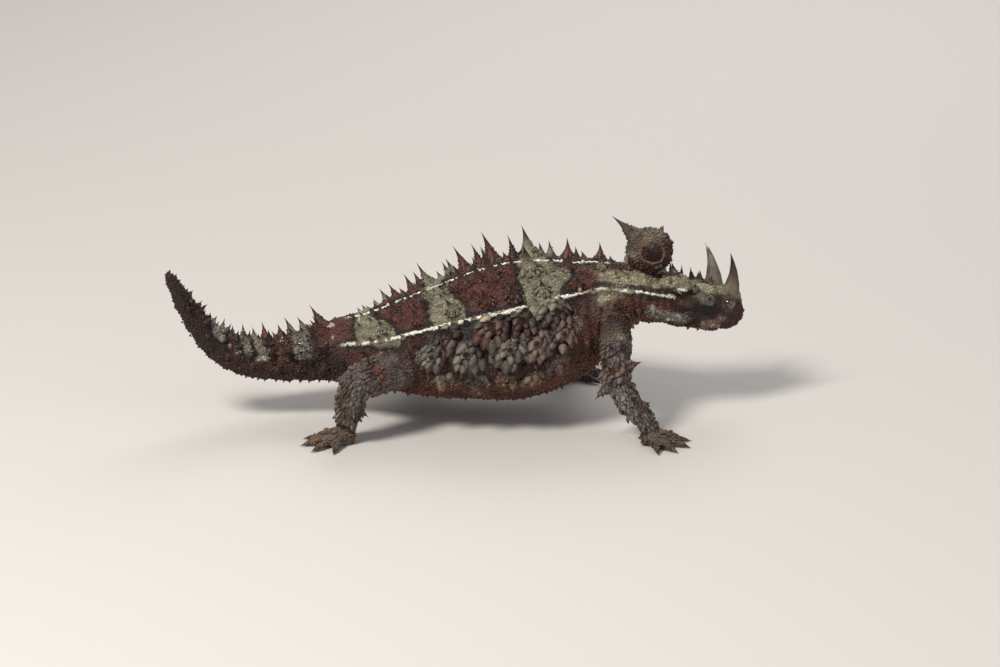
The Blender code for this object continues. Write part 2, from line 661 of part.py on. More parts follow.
COLOURS = {
    "head": (0.20, 0.17, 0.12),
    "neck": (0.24, 0.19, 0.13),
    "nuchal_knob": (0.18, 0.13, 0.09),
    "trunk_front": (0.17, 0.08, 0.05),
    "trunk_rear": (0.19, 0.12, 0.08),
    "tail_base": (0.17, 0.10, 0.07),
    "tail_middle": (0.13, 0.08, 0.06),
    "tail_end": (0.10, 0.05, 0.04),
    "horn": (0.12, 0.10, 0.08),
    "limb": (0.15, 0.11, 0.09),
    "claw": (0.05, 0.03, 0.02),
    "eye": (0.02, 0.012, 0.008),
}


def material_for(name):
    key = name if name in COLOURS else name.split("_")[0]
    colour = COLOURS.get(key, COLOURS["limb"])
    mat = bpy.data.materials.new(name)
    mat.use_nodes = True
    shader = mat.node_tree.nodes["Principled BSDF"]
    shader.inputs["Base Color"].default_value = (*colour, 1.0)
    shader.inputs["Roughness"].default_value = 0.12 if key == "eye" else 0.62
    shader.inputs["Metallic"].default_value = 0.0
    return mat


def finish_piece(name, mesh):
    """Scale to metres, move the origin, shade smooth and give the piece its material."""
    shift = Matrix.Translation((-ORIGIN[0], -ORIGIN[1], 0.0))
    mesh.transform(Matrix.Scale(MM, 4) @ shift)
    for poly in mesh.polygons:
        poly.use_smooth = True
    mesh.set_sharp_from_angle(angle=math.radians(38))
    mesh.materials.clear()
    mesh.materials.append(material_for(name))
    return add_object(name, mesh)


def part_body(whole):
    """Splits the cut body into its pieces and names each by the place it holds."""
    bm = bmesh.new()
    bm.from_mesh(whole.data)
    bmesh.ops.remove_doubles(bm, verts=bm.verts, dist=0.0005)
    bm.faces.index_update()
    places = names_and_places()
    groups = islands(bm)
    info = []
    for group in groups:
        verts = {v for f in group for v in f.verts}
        middle = sum((v.co for v in verts), Vector()) / len(verts)
        low = Vector([min(v.co[i] for v in verts) for i in range(3)])
        high = Vector([max(v.co[i] for v in verts) for i in range(3)])
        # A shaving left beside a cut is dropped.
        corners = [(f.verts[0].co, f.verts[k].co, f.verts[k + 1].co) for f in group for k in range(1, len(f.verts) - 1)]
        volume = abs(sum(a.dot(b.cross(c)) for a, b, c in corners)) / 6
        if (high - low).length > 6.0 or (middle.z < 2.5 and volume > 0.01):
            info.append((group, middle, (high - low).length))
    taken = {}
    for name, at in sorted(places.items()):
        size_limit = 4.2
        best = min(
            (k for k in range(len(info)) if k not in taken and info[k][2] > size_limit),
            key=lambda k: (info[k][1] - at).length / info[k][2],
        )
        taken[best] = name
    ends = {}
    for leg, joints in LEGS.items():
        ends[leg] = Vector((joints[3][0], joints[3][1], 0.0))
    claws = {leg: [] for leg in LEGS}
    for k in range(len(info)):
        if k not in taken:
            leg = min(ends, key=lambda e: (info[k][1] - ends[e]).length)
            claws[leg].append(k)
    for leg, found in claws.items():
        kind, hand = leg.split("_")
        heading = math.radians(FOOT_HEADING[leg])

        def sweep(k):
            d = info[k][1] - ends[leg]
            turn = math.atan2(d.y, d.x) - heading
            return (turn + math.pi) % (2 * math.pi)

        for number, k in enumerate(sorted(found, key=sweep), 1):
            taken[k] = f"claw_{kind}_{hand}_{number}"
    print("bodies:", len(info), "named:", len(taken))
    for k, (group, middle, size) in enumerate(info):
        piece = bmesh.new()
        table = {}
        for face in group:
            for vert in face.verts:
                if vert not in table:
                    table[vert] = piece.verts.new(vert.co)
            piece.faces.new([table[v] for v in face.verts])
        piece.normal_update()
        bmesh.ops.dissolve_limit(piece, angle_limit=math.radians(FLAT_ANGLE), use_dissolve_boundaries=False, verts=piece.verts, edges=piece.edges)
        bmesh.ops.triangulate(piece, faces=piece.faces)
        bmesh.ops.recalc_face_normals(piece, faces=piece.faces)
        mesh = bpy.data.meshes.new(taken[k])
        piece.to_mesh(mesh)
        piece.free()
        finish_piece(taken[k], mesh)
    bm.free()
    bpy.data.objects.remove(whole, do_unlink=True)


def make_eyes():
    for side, name in ((-1, "right"), (1, "left")):
        at = head_place((EYE_AT[0], EYE_AT[1] * side, EYE_AT[2]))
        eye = ball("eye_" + name, at, (EYE_RADIUS,) * 3, 0.0, 14, 8)
        mesh = eye.data
        bpy.data.objects.remove(eye, do_unlink=True)
        finish_piece("eye_" + name, mesh)


def main():
    clear_scene()
    part_body(make_whole())
    make_eyes()


main()
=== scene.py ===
"""Looks of the thorny devil: one skin over the body, and a coat of spines, petals and granules.

Shapes are laid out in millimetres in the animal's own layout (+X forward, +Y its left)
and end in the shared frame in metres.
"""

import math

import bmesh
import bpy
import numpy as np
from mathutils import Matrix, Vector


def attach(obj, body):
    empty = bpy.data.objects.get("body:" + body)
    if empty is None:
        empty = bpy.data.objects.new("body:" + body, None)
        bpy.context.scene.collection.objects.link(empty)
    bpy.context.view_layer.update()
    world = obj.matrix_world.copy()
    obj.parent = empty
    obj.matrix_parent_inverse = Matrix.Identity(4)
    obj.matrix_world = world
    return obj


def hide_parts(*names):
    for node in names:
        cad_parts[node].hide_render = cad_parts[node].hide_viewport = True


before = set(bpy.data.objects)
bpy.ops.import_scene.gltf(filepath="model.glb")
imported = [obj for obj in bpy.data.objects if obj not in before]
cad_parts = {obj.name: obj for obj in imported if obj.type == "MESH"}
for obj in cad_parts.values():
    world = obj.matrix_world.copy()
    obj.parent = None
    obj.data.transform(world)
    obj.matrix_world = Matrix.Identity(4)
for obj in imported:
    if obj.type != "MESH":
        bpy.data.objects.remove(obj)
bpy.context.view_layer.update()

RNG = np.random.default_rng(7)
MM = 0.001
ORIGIN = np.array((-0.678, 1.675, 0.0))
DEPTH = 0.42  # the skin lies this far inside the solids

# ------------------------------------------------------------ layout of the body
BODY = (
    (-75.5, -15.3, 43.6, 0.7, 0.7, 0.7), (-74.9, -15.0, 41.8, 1.5, 1.5, 1.5), (-73.3, -14.0, 38.0, 2.2, 2.2, 2.2),
    (-71.2, -12.5, 33.4, 2.9, 2.9, 2.9), (-68.5, -11.0, 28.3, 3.6, 3.4, 3.4), (-65.0, -9.0, 23.2, 4.3, 4.2, 4.1),
    (-60.6, -7.0, 19.2, 5.0, 4.7, 4.6), (-54.4, -4.5, 16.6, 5.9, 5.4, 5.3), (-44.3, -1.5, 15.6, 7.2, 6.2, 6.1),
    (-36.6, -0.5, 16.6, 8.8, 7.5, 7.3), (-31.0, 0.0, 17.3, 10.8, 8.7, 8.4), (-25.0, 0.0, 18.0, 13.8, 9.4, 9.6),
    (-18.0, 0.0, 19.0, 18.2, 10.9, 12.0), (-8.0, 0.0, 20.5, 22.2, 13.6, 14.6), (5.0, 0.0, 21.6, 24.2, 17.8, 16.2),
    (16.0, 0.0, 22.8, 24.2, 19.3, 17.2), (26.0, 0.0, 25.4, 21.8, 18.0, 16.0), (34.0, 0.0, 28.2, 18.0, 15.1, 13.0),
    (40.0, 0.0, 30.8, 14.4, 12.2, 10.2), (46.0, 0.1, 32.4, 11.2, 8.4, 6.8), (51.5, 0.3, 32.0, 9.8, 7.0, 6.6),
    (56.0, 0.5, 31.2, 8.6, 6.6, 6.2),
)
HEAD_AT = (55.9, 0.5, 30.6)
HEAD_YAW, HEAD_DIP, HEAD_ROLL = 24.0, 22.0, 6.0
HEAD = (
    (-3.0, 0.0, 7.0, 6.0, 5.6), (1.0, 0.4, 8.6, 6.9, 6.6), (5.0, 0.8, 8.9, 7.0, 6.6), (9.0, 1.2, 8.4, 6.9, 6.2),
    (12.5, 1.4, 7.4, 6.7, 5.6), (15.5, 1.0, 5.9, 5.9, 4.6), (18.0, 1.0, 5.0, 5.1, 4.2), (19.9, 1.6, 4.2, 3.9, 3.5),
    (20.9, 1.8, 3.2, 2.5, 2.5), (21.5, 1.8, 1.4, 1.0, 1.1),
)
EYE_AT, EYE_RADIUS = (13.6, 6.2, 4.2), 1.55
HORN_ROOT, HORN_TIP, HORN_RADIUS = (14.2, 4.6, 6.6), (9.6, 6.6, 17.4), 3.0
KNOB_AT, KNOB_SIZE = (50.2, 0.3, 44.9), (6.5, 6.6, 6.2)
LEGS = {
    "front_right": ((38.5, -8.0, 28.5), (41.0, -14.5, 26.0), (41.8, -23.0, 15.2), (49.6, -25.6, 5.2)),
    "front_left": ((38.0, 8.0, 28.5), (36.8, 15.0, 26.4), (29.6, 27.4, 15.6), (29.6, 27.2, 5.2)),
    "hind_right": ((-12.0, -7.0, 18.5), (-15.0, -16.5, 18.0), (-26.0, -27.0, 17.0), (-29.0, -25.0, 6.0)),
    "hind_left": ((-12.4, 6.5, 18.2), (-11.2, 17.0, 18.4), (-4.2, 29.8, 17.3), (-7.8, 28.2, 5.8)),
}
LEG_RADII = {"front": (5.0, 4.6, 3.4, 2.7), "hind": (6.4, 5.8, 4.2, 3.1)}
FOOT_HEADING = {"front_right": -22.0, "front_left": 24.0, "hind_right": 196.0, "hind_left": 28.0}
PALM = {"front": (3.9, 3.1, 2.6), "hind": (4.4, 3.3, 2.8)}
TOE_FAN = (-62.0, -30.0, 0.0, 30.0, 64.0)
TOE_LENGTH = {"front": (3.1, 3.9, 4.3, 3.9, 2.9), "hind": (2.9, 3.8, 4.6, 4.5, 3.2)}
TOE_RADIUS = 0.95
CLAW_LENGTH, CLAW_RADIUS = 2.5, 0.62
TRUNK_ROWS = (
    (17.0, 12.0, ((41.0, 4.6, 1.9), (33.6, 5.6, 2.1), (29.0, 4.4, 1.6), (23.0, 8.4, 3.6), (17.8, 6.0, 1.7),
                  (10.4, 8.0, 2.8), (6.4, 5.6, 1.7), (2.0, 6.4, 2.3), (-2.2, 3.8, 1.6), (-7.2, 6.0, 2.0),
                  (-11.0, 4.6, 1.5), (-15.4, 3.8, 1.6))),
    (41.0, 13.0, ((35.2, 4.2, 2.2), (26.0, 4.8, 2.5), (17.0, 5.4, 2.8), (8.0, 5.4, 2.6), (-1.0, 4.8, 2.4),
                  (-9.6, 4.6, 2.2), (-18.4, 3.8, 1.9))),
    (63.0, 13.0, ((27.8, 4.8, 2.8), (18.6, 5.0, 2.6), (9.6, 5.8, 3.1), (-1.8, 4.8, 2.6), (-10.4, 4.6, 2.2))),
    (82.0, 14.0, ((28.0, 4.2, 2.6), (21.0, 4.6, 2.6), (13.8, 5.0, 3.0), (2.0, 5.0, 2.9), (-7.0, 4.2, 2.4))),
    (116.0, 8.0, ((24.4, 3.0, 1.9), (17.4, 3.4, 2.0), (12.8, 3.0, 1.7), (3.6, 3.6, 2.2), (-5.0, 3.4, 2.0))),
)
TAIL_ROWS = ((20.0, 12, (5.6, 2.1), (1.5, 0.8)), (62.0, 9, (4.6, 2.2), (1.4, 0.8)), (102.0, 7, (3.2, 1.8), (1.3, 0.8)))
TAIL_FROM, TAIL_TO = -34.5, -73.4
HEAD_SPINES = (
    ((3.0, 5.6, 6.2), (-0.35, 0.5, 1.0), 4.6, 2.6),
    ((8.6, 2.6, 7.6), (-0.2, 0.2, 1.0), 2.6, 1.1),
    ((5.4, 2.2, 7.5), (-0.3, 0.15, 1.0), 3.0, 1.2),
    ((-0.4, 2.4, 6.6), (-0.3, 0.3, 1.0), 4.2, 1.3),
    ((6.2, 8.4, 3.6), (-0.3, 1.0, 0.25), 3.4, 2.0),
    ((2.0, 8.6, -1.6), (-0.2, 1.0, -0.2), 2.8, 1.9),
    ((9.6, 7.0, -3.4), (0.1, 1.0, -0.45), 1.4, 1.1),
    ((17.6, 2.2, 3.8), (0.5, 0.3, 1.0), 0.9, 0.8),
    ((-3.1, 5.9, 4.9), (0.16, 0.10, 1.0), 4.0, 3.2),
    ((1.6, 7.6, 5.6), (-0.5, 0.75, 0.6), 2.0, 1.5),
    ((9.2, 6.2, -3.9), (0.0, 0.7, -1.0), 1.2, 0.7),
    ((11.4, 5.4, -3.4), (0.1, 0.7, -1.0), 1.1, 0.6),
    ((6.6, 6.6, -4.4), (-0.1, 0.7, -1.0), 1.2, 0.8),
    ((3.8, 6.4, -4.9), (-0.1, 0.7, -1.0), 1.1, 0.7),
)
KNOB_SPINES = (
    ((-0.72, 0.52, 0.60), 7.0, 2.9),
    ((0.10, -0.93, 0.20), 4.4, 2.6),
    ((0.55, 0.25, 0.85), 1.6, 1.2),
    ((0.85, -0.35, 0.45), 1.5, 1.2),
    ((-0.15, -0.35, 0.95), 1.5, 1.2),
    ((-0.75, -0.45, 0.50), 1.6, 1.2),
    ((0.30, 0.80, 0.55), 1.8, 1.3),
    ((0.80, -0.45, -0.25), 1.4, 1.1),
    ((-0.70, -0.62, -0.1), 1.5, 1.1),
)


# ------------------------------------------------------------------ small tools
def rgb(r, g, b):
    """Linear colour from its screen values."""
    c = np.array((r, g, b), float) / 255.0
    return np.where(c < 0.04045, c / 12.92, ((c + 0.055) / 1.055) ** 2.4)


BLACK = rgb(26, 20, 19)
UMBER = rgb(58, 38, 32)
MAROON = rgb(82, 46, 39)
BRICK = rgb(108, 64, 52)
OLIVE = rgb(122, 118, 98)
GREY = rgb(114, 108, 100)
MAUVE = rgb(114, 94, 87)
CREAM = rgb(166, 156, 128)
WHITE = rgb(234, 228, 212)
RUST = rgb(98, 58, 42)
GOLD = rgb(158, 120, 76)
THORN = rgb(36, 22, 18)


def unit(v):
    return v / np.maximum(np.linalg.norm(v, axis=-1, keepdims=True), 1e-9)


def noise(p, scale, seed=0):
    """Smooth lattice noise, -1 to 1."""
    q = np.asarray(p, float) * scale + seed * 17.31
    i = np.floor(q).astype(np.int64)
    f = q - i
    f = f * f * (3 - 2 * f)
    total = np.zeros(len(q))
    for dx in (0, 1):
        for dy in (0, 1):
            for dz in (0, 1):
                h = (i[:, 0] + dx) * 73856093 ^ (i[:, 1] + dy) * 19349663 ^ (i[:, 2] + dz) * 83492791 ^ (seed * 2654435 + 77)
                h = (h ^ (h >> 13)) * 1274126177
                value = ((h >> 7) & 0xFFFF) / 32767.5 - 1.0
                total += value * np.where(dx, f[:, 0], 1 - f[:, 0]) * np.where(dy, f[:, 1], 1 - f[:, 1]) * np.where(dz, f[:, 2], 1 - f[:, 2])
    return total


def step(a, b, x):
    t = np.clip((x - a) / (b - a), 0, 1)
    return t * t * (3 - 2 * t)


def band(x, low, high, soft):
    """1 between low and high, with soft borders."""
    return step(low - soft, low + soft, x) * (1 - step(high - soft, high + soft, x))


def over(base, colour, mask):
    mask = np.clip(mask, 0, 1)[:, None]
    return base * (1 - mask) + colour * mask


def smooth_steps(table, per=12):
    rows = np.array(table, float)
    spans = len(rows) - 1
    out = []
    for i in range(spans):
        a, b, c, d = rows[max(i - 1, 0)], rows[i], rows[i + 1], rows[min(i + 2, spans)]
        for k in range(per):
            t = k / per
            out.append(0.5 * (2 * b + (c - a) * t + (2 * a - 5 * b + 4 * c - d) * t * t + (3 * b - a - 3 * c + d) * t ** 3))
    out.append(rows[-1])
    return np.array(out)


# ------------------------------------------------- the body's own coordinates
FINE = smooth_steps(BODY)
BC = FINE[:, :3]
BT = unit(np.concatenate([BC[1:2] - BC[:1], BC[2:] - BC[:-2], BC[-1:] - BC[-2:-1]]))
BS = unit(np.cross(BT, (0.0, 0.0, 1.0)))  # towards the right
BU = np.cross(BS, BT)
BR = (FINE[:, 3] + (FINE[:, 4] + FINE[:, 5]) / 2) / 2


def head_matrix():
    return (Matrix.Translation(HEAD_AT) @ Matrix.Rotation(math.radians(HEAD_YAW), 4, "Z")
            @ Matrix.Rotation(math.radians(HEAD_DIP), 4, "Y") @ Matrix.Rotation(math.radians(-HEAD_ROLL), 4, "X"))


HM = np.array(head_matrix())
HMI = np.linalg.inv(HM)
HEAD_FINE = smooth_steps(HEAD)


def head_place(p):
    return np.asarray(p, float) @ HM[:3, :3].T + HM[:3, 3]


def head_dir(p):
    return unit(np.asarray(p, float) @ HM[:3, :3].T)


def head_local(p):
    return p @ HMI[:3, :3].T + HMI[:3, 3]


def body_point(x, degrees, side):
    """Surface point, outward normal and the way to the tail, for arrays of places."""
    x, a = np.atleast_1d(x).astype(float), np.radians(np.atleast_1d(degrees)) * side
    i = np.clip(np.searchsorted(FINE[:, 0], x), 1, len(FINE) - 2)

    def at(i, a):
        c, s = np.cos(a), np.sin(a)
        high = np.where(c > 0, FINE[i, 4], FINE[i, 5])
        return BC[i] + BS[i] * (FINE[i, 3] * s)[:, None] + BU[i] * (high * c)[:, None]

    here = at(i, a)
    normal = unit(np.cross(at(i + 1, a) - here, at(i, a + 0.03) - here))
    flip = np.sign(((here - BC[i]) * normal).sum(1))
    return here, normal * flip[:, None], -BT[i]


def leg_line(leg):
    kind = leg.split("_")[0]
    return smooth_steps([tuple(p) + (r,) for p, r in zip(LEGS[leg], LEG_RADII[kind])], 10)


LEG_LINES = {leg: leg_line(leg) for leg in LEGS}
LEG_NAMES = list(LEGS)
REGIONS = ["trunk", "head", "knob"] + LEG_NAMES


def nearest(points, line):
    out = np.empty(len(points), int)
    for k in range(0, len(points), 20000):
        d = ((points[k:k + 20000, None, :] - line[None, :, :]) ** 2).sum(-1)
        out[k:k + 20000] = d.argmin(1)
    return out


def classify(p):
    """For points on the surface: region, place along it (0-1), angle round it and the lie of the coat."""
    n = len(p)
    i = nearest(p, BC)
    rel = p - BC[i]
    s, u = (rel * BS[i]).sum(1), (rel * BU[i]).sum(1)
    tall = np.where(u > 0, FINE[i, 4], FINE[i, 5])
    ang = np.arctan2(s / FINE[i, 3], u / tall)
    gap = [(np.hypot(s / FINE[i, 3], u / tall) - 1) * BR[i] + np.where(i == len(BC) - 1, 3.0 + 2.0 * np.abs((rel * BT[i]).sum(1)), 0.0)]
    places = [(i / len(BC), ang, -BT[i])]

    q = head_local(p)
    j = np.clip(np.searchsorted(HEAD_FINE[:, 0], q[:, 0]), 0, len(HEAD_FINE) - 1)
    row = HEAD_FINE[j]
    hs, hu = q[:, 1] / row[:, 2], (q[:, 2] - row[:, 1]) / np.where(q[:, 2] > row[:, 1], row[:, 3], row[:, 4])
    gap.append((np.hypot(hs, hu) - 1) * row[:, 2] * 0.8 + np.maximum(-3.5 - q[:, 0], 0) * 2)
    lie = np.tile(head_dir((-1.0, 0, 0.12)), (n, 1))
    places.append(((q[:, 0] + 4) / 27, np.arctan2(-hs, hu), lie))

    rel = (p - KNOB_AT) / KNOB_SIZE
    gap.append((np.linalg.norm(rel, axis=1) - 1) * 6.3)
    places.append((0.5 + rel[:, 2] * 0.45, np.arctan2(rel[:, 1], rel[:, 0]), np.tile((-0.95, 0.0, 0.3), (n, 1))))

    for leg in LEG_NAMES:
        line = LEG_LINES[leg]
        kind = leg.split("_")[0]
        k = nearest(p, line[:, :3])
        nxt = np.minimum(k + 1, len(line) - 1)
        prv = np.maximum(k - 1, 0)
        t = unit(line[nxt, :3] - line[prv, :3])
        rel = p - line[k, :3]
        a1 = unit(np.cross(t, np.tile((0.13, 0.07, 1.0), (n, 1))))
        a2 = np.cross(a1, t)
        angle = np.arctan2((rel * a2).sum(1), (rel * a1).sum(1))
        g = np.linalg.norm(rel, axis=1) - line[k, 3]
        heading = math.radians(FOOT_HEADING[leg])
        ahead = np.array((math.cos(heading), math.sin(heading), 0))
        middle = np.array((LEGS[leg][3][0], LEGS[leg][3][1], 0)) + ahead * PALM[kind][0] * 0.45 + (0, 0, 1.7)
        foot = np.linalg.norm((p - middle) * (1, 1, 1.3), axis=1)
        toe = (foot < 12) & (p[:, 2] < 4.6)
        g = np.where(toe, np.minimum(g, -2.0 + foot * 0.05), g)
        away = p - middle
        away[:, 2] = 0
        t = np.where(toe[:, None], unit(unit(away) + ahead), t)
        share = np.where(toe, 0.80 + 0.018 * foot, 0.80 * k / len(line))
        angle = np.where(toe, np.arctan2(away @ (-ahead[1], ahead[0], 0), away @ ahead), angle)
        gap.append(g + 0.3)
        places.append((share, angle, t))

    ragged = noise(p, 0.45, 81) * 0.7
    gap = [g + (ragged if k >= 3 else 0.0) for k, g in enumerate(gap)]
    region = np.argmin(np.array(gap), axis=0)
    share = np.choose(region, [q[0] for q in places])
    angle = np.choose(region, [q[1] for q in places])
    lie = np.zeros((n, 3))
    for r, place in enumerate(places):
        mask = region == r
        lie[mask] = place[2][mask]
    return region, share, angle, unit(lie)


# ------------------------------------------------------------------ the markings
# Great spines of the flank stand in patches of their own: place, angle, reach, colour.
PATCHES = (
    (26.0, 63, 3.6, MAROON * 0.8), (16.8, 63, 3.6, MAROON * 0.85), (8.2, 63, 4.2, MAROON * 1.1), (-3.3, 63, 3.2, UMBER), (-11.8, 63, 3.0, MAROON),
    (28.0, 80, 4.2, MAUVE * 0.95), (21.2, 86, 4.4, MAUVE), (13.3, 82, 5.2, GREY * 0.95), (1.6, 83, 4.6, GREY), (-7.4, 82, 3.8, GREY * 0.85),
    (26.0, 112, 3.4, MAUVE * 0.9), (19.0, 116, 3.6, rgb(126, 104, 84)), (13.0, 114, 3.4, rgb(136, 112, 94)), (5.0, 114, 3.6, GREY * 0.95), (-4.0, 114, 3.8, rgb(144, 128, 112)),
    (38.5, 74, 4.2, GREY * 0.9),
)


def trunk_markings(p, angle):
    """Colours of tail, trunk and neck by place along the axis and angle from the back line."""
    i = nearest(p, BC)
    x, r = BC[i, 0], BR[i]
    wob = noise(p, 0.22, 1) * 1.3 + noise(p, 0.7, 2) * 0.5
    # Markings of the trunk are set out by length along the animal; those of the tail by place on its curve.
    x = x + (p[:, 0] - x) * step(-34, -29, x)
    xs = x + wob
    a = np.degrees(np.abs(angle))
    aw = a + noise(p, 0.25, 3) * 5
    fine = noise(p, 0.9, 4)
    n = len(p)
    c = np.tile(MAROON, (n, 1))
    c = over(c, BRICK, step(0.1, 0.8, noise(p, 0.35, 5)) * 0.7)
    c = over(c, UMBER, step(0.0, 0.6, noise(p, 0.5, 6)) * 0.6)
    # Side of the trunk: dark, with paler patches, and a red-brown belly.
    flank = step(54, 59, aw)
    c = over(c, UMBER, flank * 0.75)
    c = over(c, BLACK, flank * step(0.0, 0.35, noise(p, 0.24, 7)) * 0.8)
    c = over(c, MAROON, flank * step(0.15, 0.5, noise(p, 0.2, 8)) * 0.6)
    right = np.sign(angle)
    for px, pa, reach, tone in PATCHES:
        spot = np.hypot(x - px, np.radians(a - pa) * r) + noise(p, 0.42, 18) * 1.0
        c = over(c, BLACK, (1 - step(reach * 1.0, reach * 1.25, spot + wob * 0.6)) * 0.6)
        mixed = over(np.tile(tone, (n, 1)), UMBER, step(0.0, 0.6, noise(p, 0.8, 17)) * 0.6)
        c = over(c, mixed, 1 - step(reach * 0.82, reach * 0.98, spot + wob * 0.5))
    belly = step(108, 124, aw)
    c = over(c, RUST, belly * 0.9)
    c = over(c, UMBER, belly * step(0.1, 0.5, noise(p, 0.22, 9)) * 0.7)
    c = over(c, CREAM, belly * step(0.45, 0.75, noise(p, 0.17, 10)) * 0.5)
    # Saddles across the back and bands round the tail, each with a black border.
    saddle = np.zeros(n)
    rim = np.zeros(n)
    am = np.minimum(a, 60)
    for low, high, top in ((-9.8 + 0.07 * am, -5.4 + 0.15 * am, 54), (15.2 + 0.05 * am, 22.6 + 0.09 * am + 5.0 * np.exp(-((am - 25) / 11) ** 2), 60),
                           (-27.6 + 0.03 * am, -24.4 + 0.17 * am, 64), (-44.5, -39.0, 75), (-55.8, -52.2, 80), (-59.6, -57.2, 70), (-66.5, -64.5, 80)):
        inside = band(xs, low, high, 0.35) * (1 - step(top - 3, top + 3, aw))
        outer = band(xs, low - 1.5, high + 1.5, 0.4) * (1 - step(top + 3, top + 8, aw))
        saddle = np.maximum(saddle, inside)
        rim = np.maximum(rim, outer)
    c = over(c, BLACK, rim * (1 - saddle) * 0.85)
    pale = over(np.tile(OLIVE, (n, 1)), GREY, step(-34, -40, x) * 0.8)
    pale = over(pale, CREAM, step(0.3, 0.8, noise(p, 0.4, 11)) * 0.35)
    pale = over(pale, UMBER, step(0.25, 0.7, noise(p, 1.1, 12)) * 0.45)
    c = over(c, pale, saddle)
    # Neck and shoulder: tan folds, and painted shadow on the top of the neck under the knob.
    neck = step(35.5, 38.5, xs) * (1 - step(62, 72, aw))
    tan = over(np.tile(CREAM * 0.82, (n, 1)), OLIVE, step(-0.2, 0.5, noise(p, 0.5, 13)) * 0.7)
    tan = over(tan, UMBER, step(0.1, 0.6, noise(p, 0.8, 14)) * 0.5)
    c = over(c, tan, neck * step(14, 22, aw))
    # Painted shadow: the top of the neck, under the knob, darkened to umber.
    c = over(c, UMBER, step(35.5, 38.5, xs) * (1 - step(12, 20, aw)) * 0.7)
    c = over(c, rgb(84, 44, 34), step(30, 38, xs) * band(aw, 66, 100, 6) * 0.6)
    # Stripes: one down the back line and one along each side of the back.
    arc = np.radians(a) * r
    wave = noise(p, 0.3, 15) * 0.22
    trunk = step(-31, -27, x) * (1 - step(38, 41, x))
    c = over(c, BLACK, band(arc, 0, 2.1, 0.3) * trunk * (1 - saddle) * 0.9)
    c = over(c, WHITE, (1 - step(0.50, 0.72, arc + wave)) * trunk)
    centre = np.interp(x, (-30, -20, -8, 2, 17, 24, 32, 38, 46, 56), (59, 56, 53, 53, 52, 50, 50, 51, 60, 62))
    off = np.abs(a - centre) * np.pi / 180 * r
    gone = np.maximum(band(x, 17.6, 25.6, 0.8), step(27, 32, x) * step(0.18, 0.42, noise(p, 0.17, 19)))
    reach = step(-32, -28, x) * (1 - gone)
    c = over(c, BLACK, (1 - step(1.7, 2.3, off)) * reach * (1 - saddle * 0.8) * 0.9)
    width = np.interp(x, (-30, -8, 2, 17, 20, 30, 40, 56), (0.40, 0.34, 0.42, 0.48, 0.36, 0.34, 0.32, 0.26))
    c = over(c, WHITE, (1 - step(width, width + 0.24, off + wave)) * reach)
    # Pale lobe low on the side of the neck, running on under the jaw.
    q = head_local(p)
    lobe = band(q[:, 2] + wob * 0.5, -5.2, -2.0, 0.4) * band(q[:, 0] + wob, -10.0, 2.0, 0.8) * step(3.5, 4.5, np.abs(q[:, 1]))
    c = over(c, over(np.tile(GREY * 1.1, (n, 1)), WHITE * 0.9, step(0.1, 0.6, noise(p, 0.9, 27)) * 0.5), lobe * 0.85)
    # Underside of the tail, darkened to umber: partly its own dark red-brown, partly painted shade; and its pale
    # flecks.
    tail = step(-30, -34, x)
    c = over(c, UMBER, tail * step(88, 104, aw) * 0.85)
    c = over(c, WHITE * 0.8, tail * step(0.55, 0.75, noise(p, 0.45, 16)) * (1 - step(60, 90, aw)) * 0.8)
    c = over(c, BLACK, step(-60, -66, x) * (1 - saddle) * 0.55)
    return c * (1 + 0.22 * fine)[:, None]


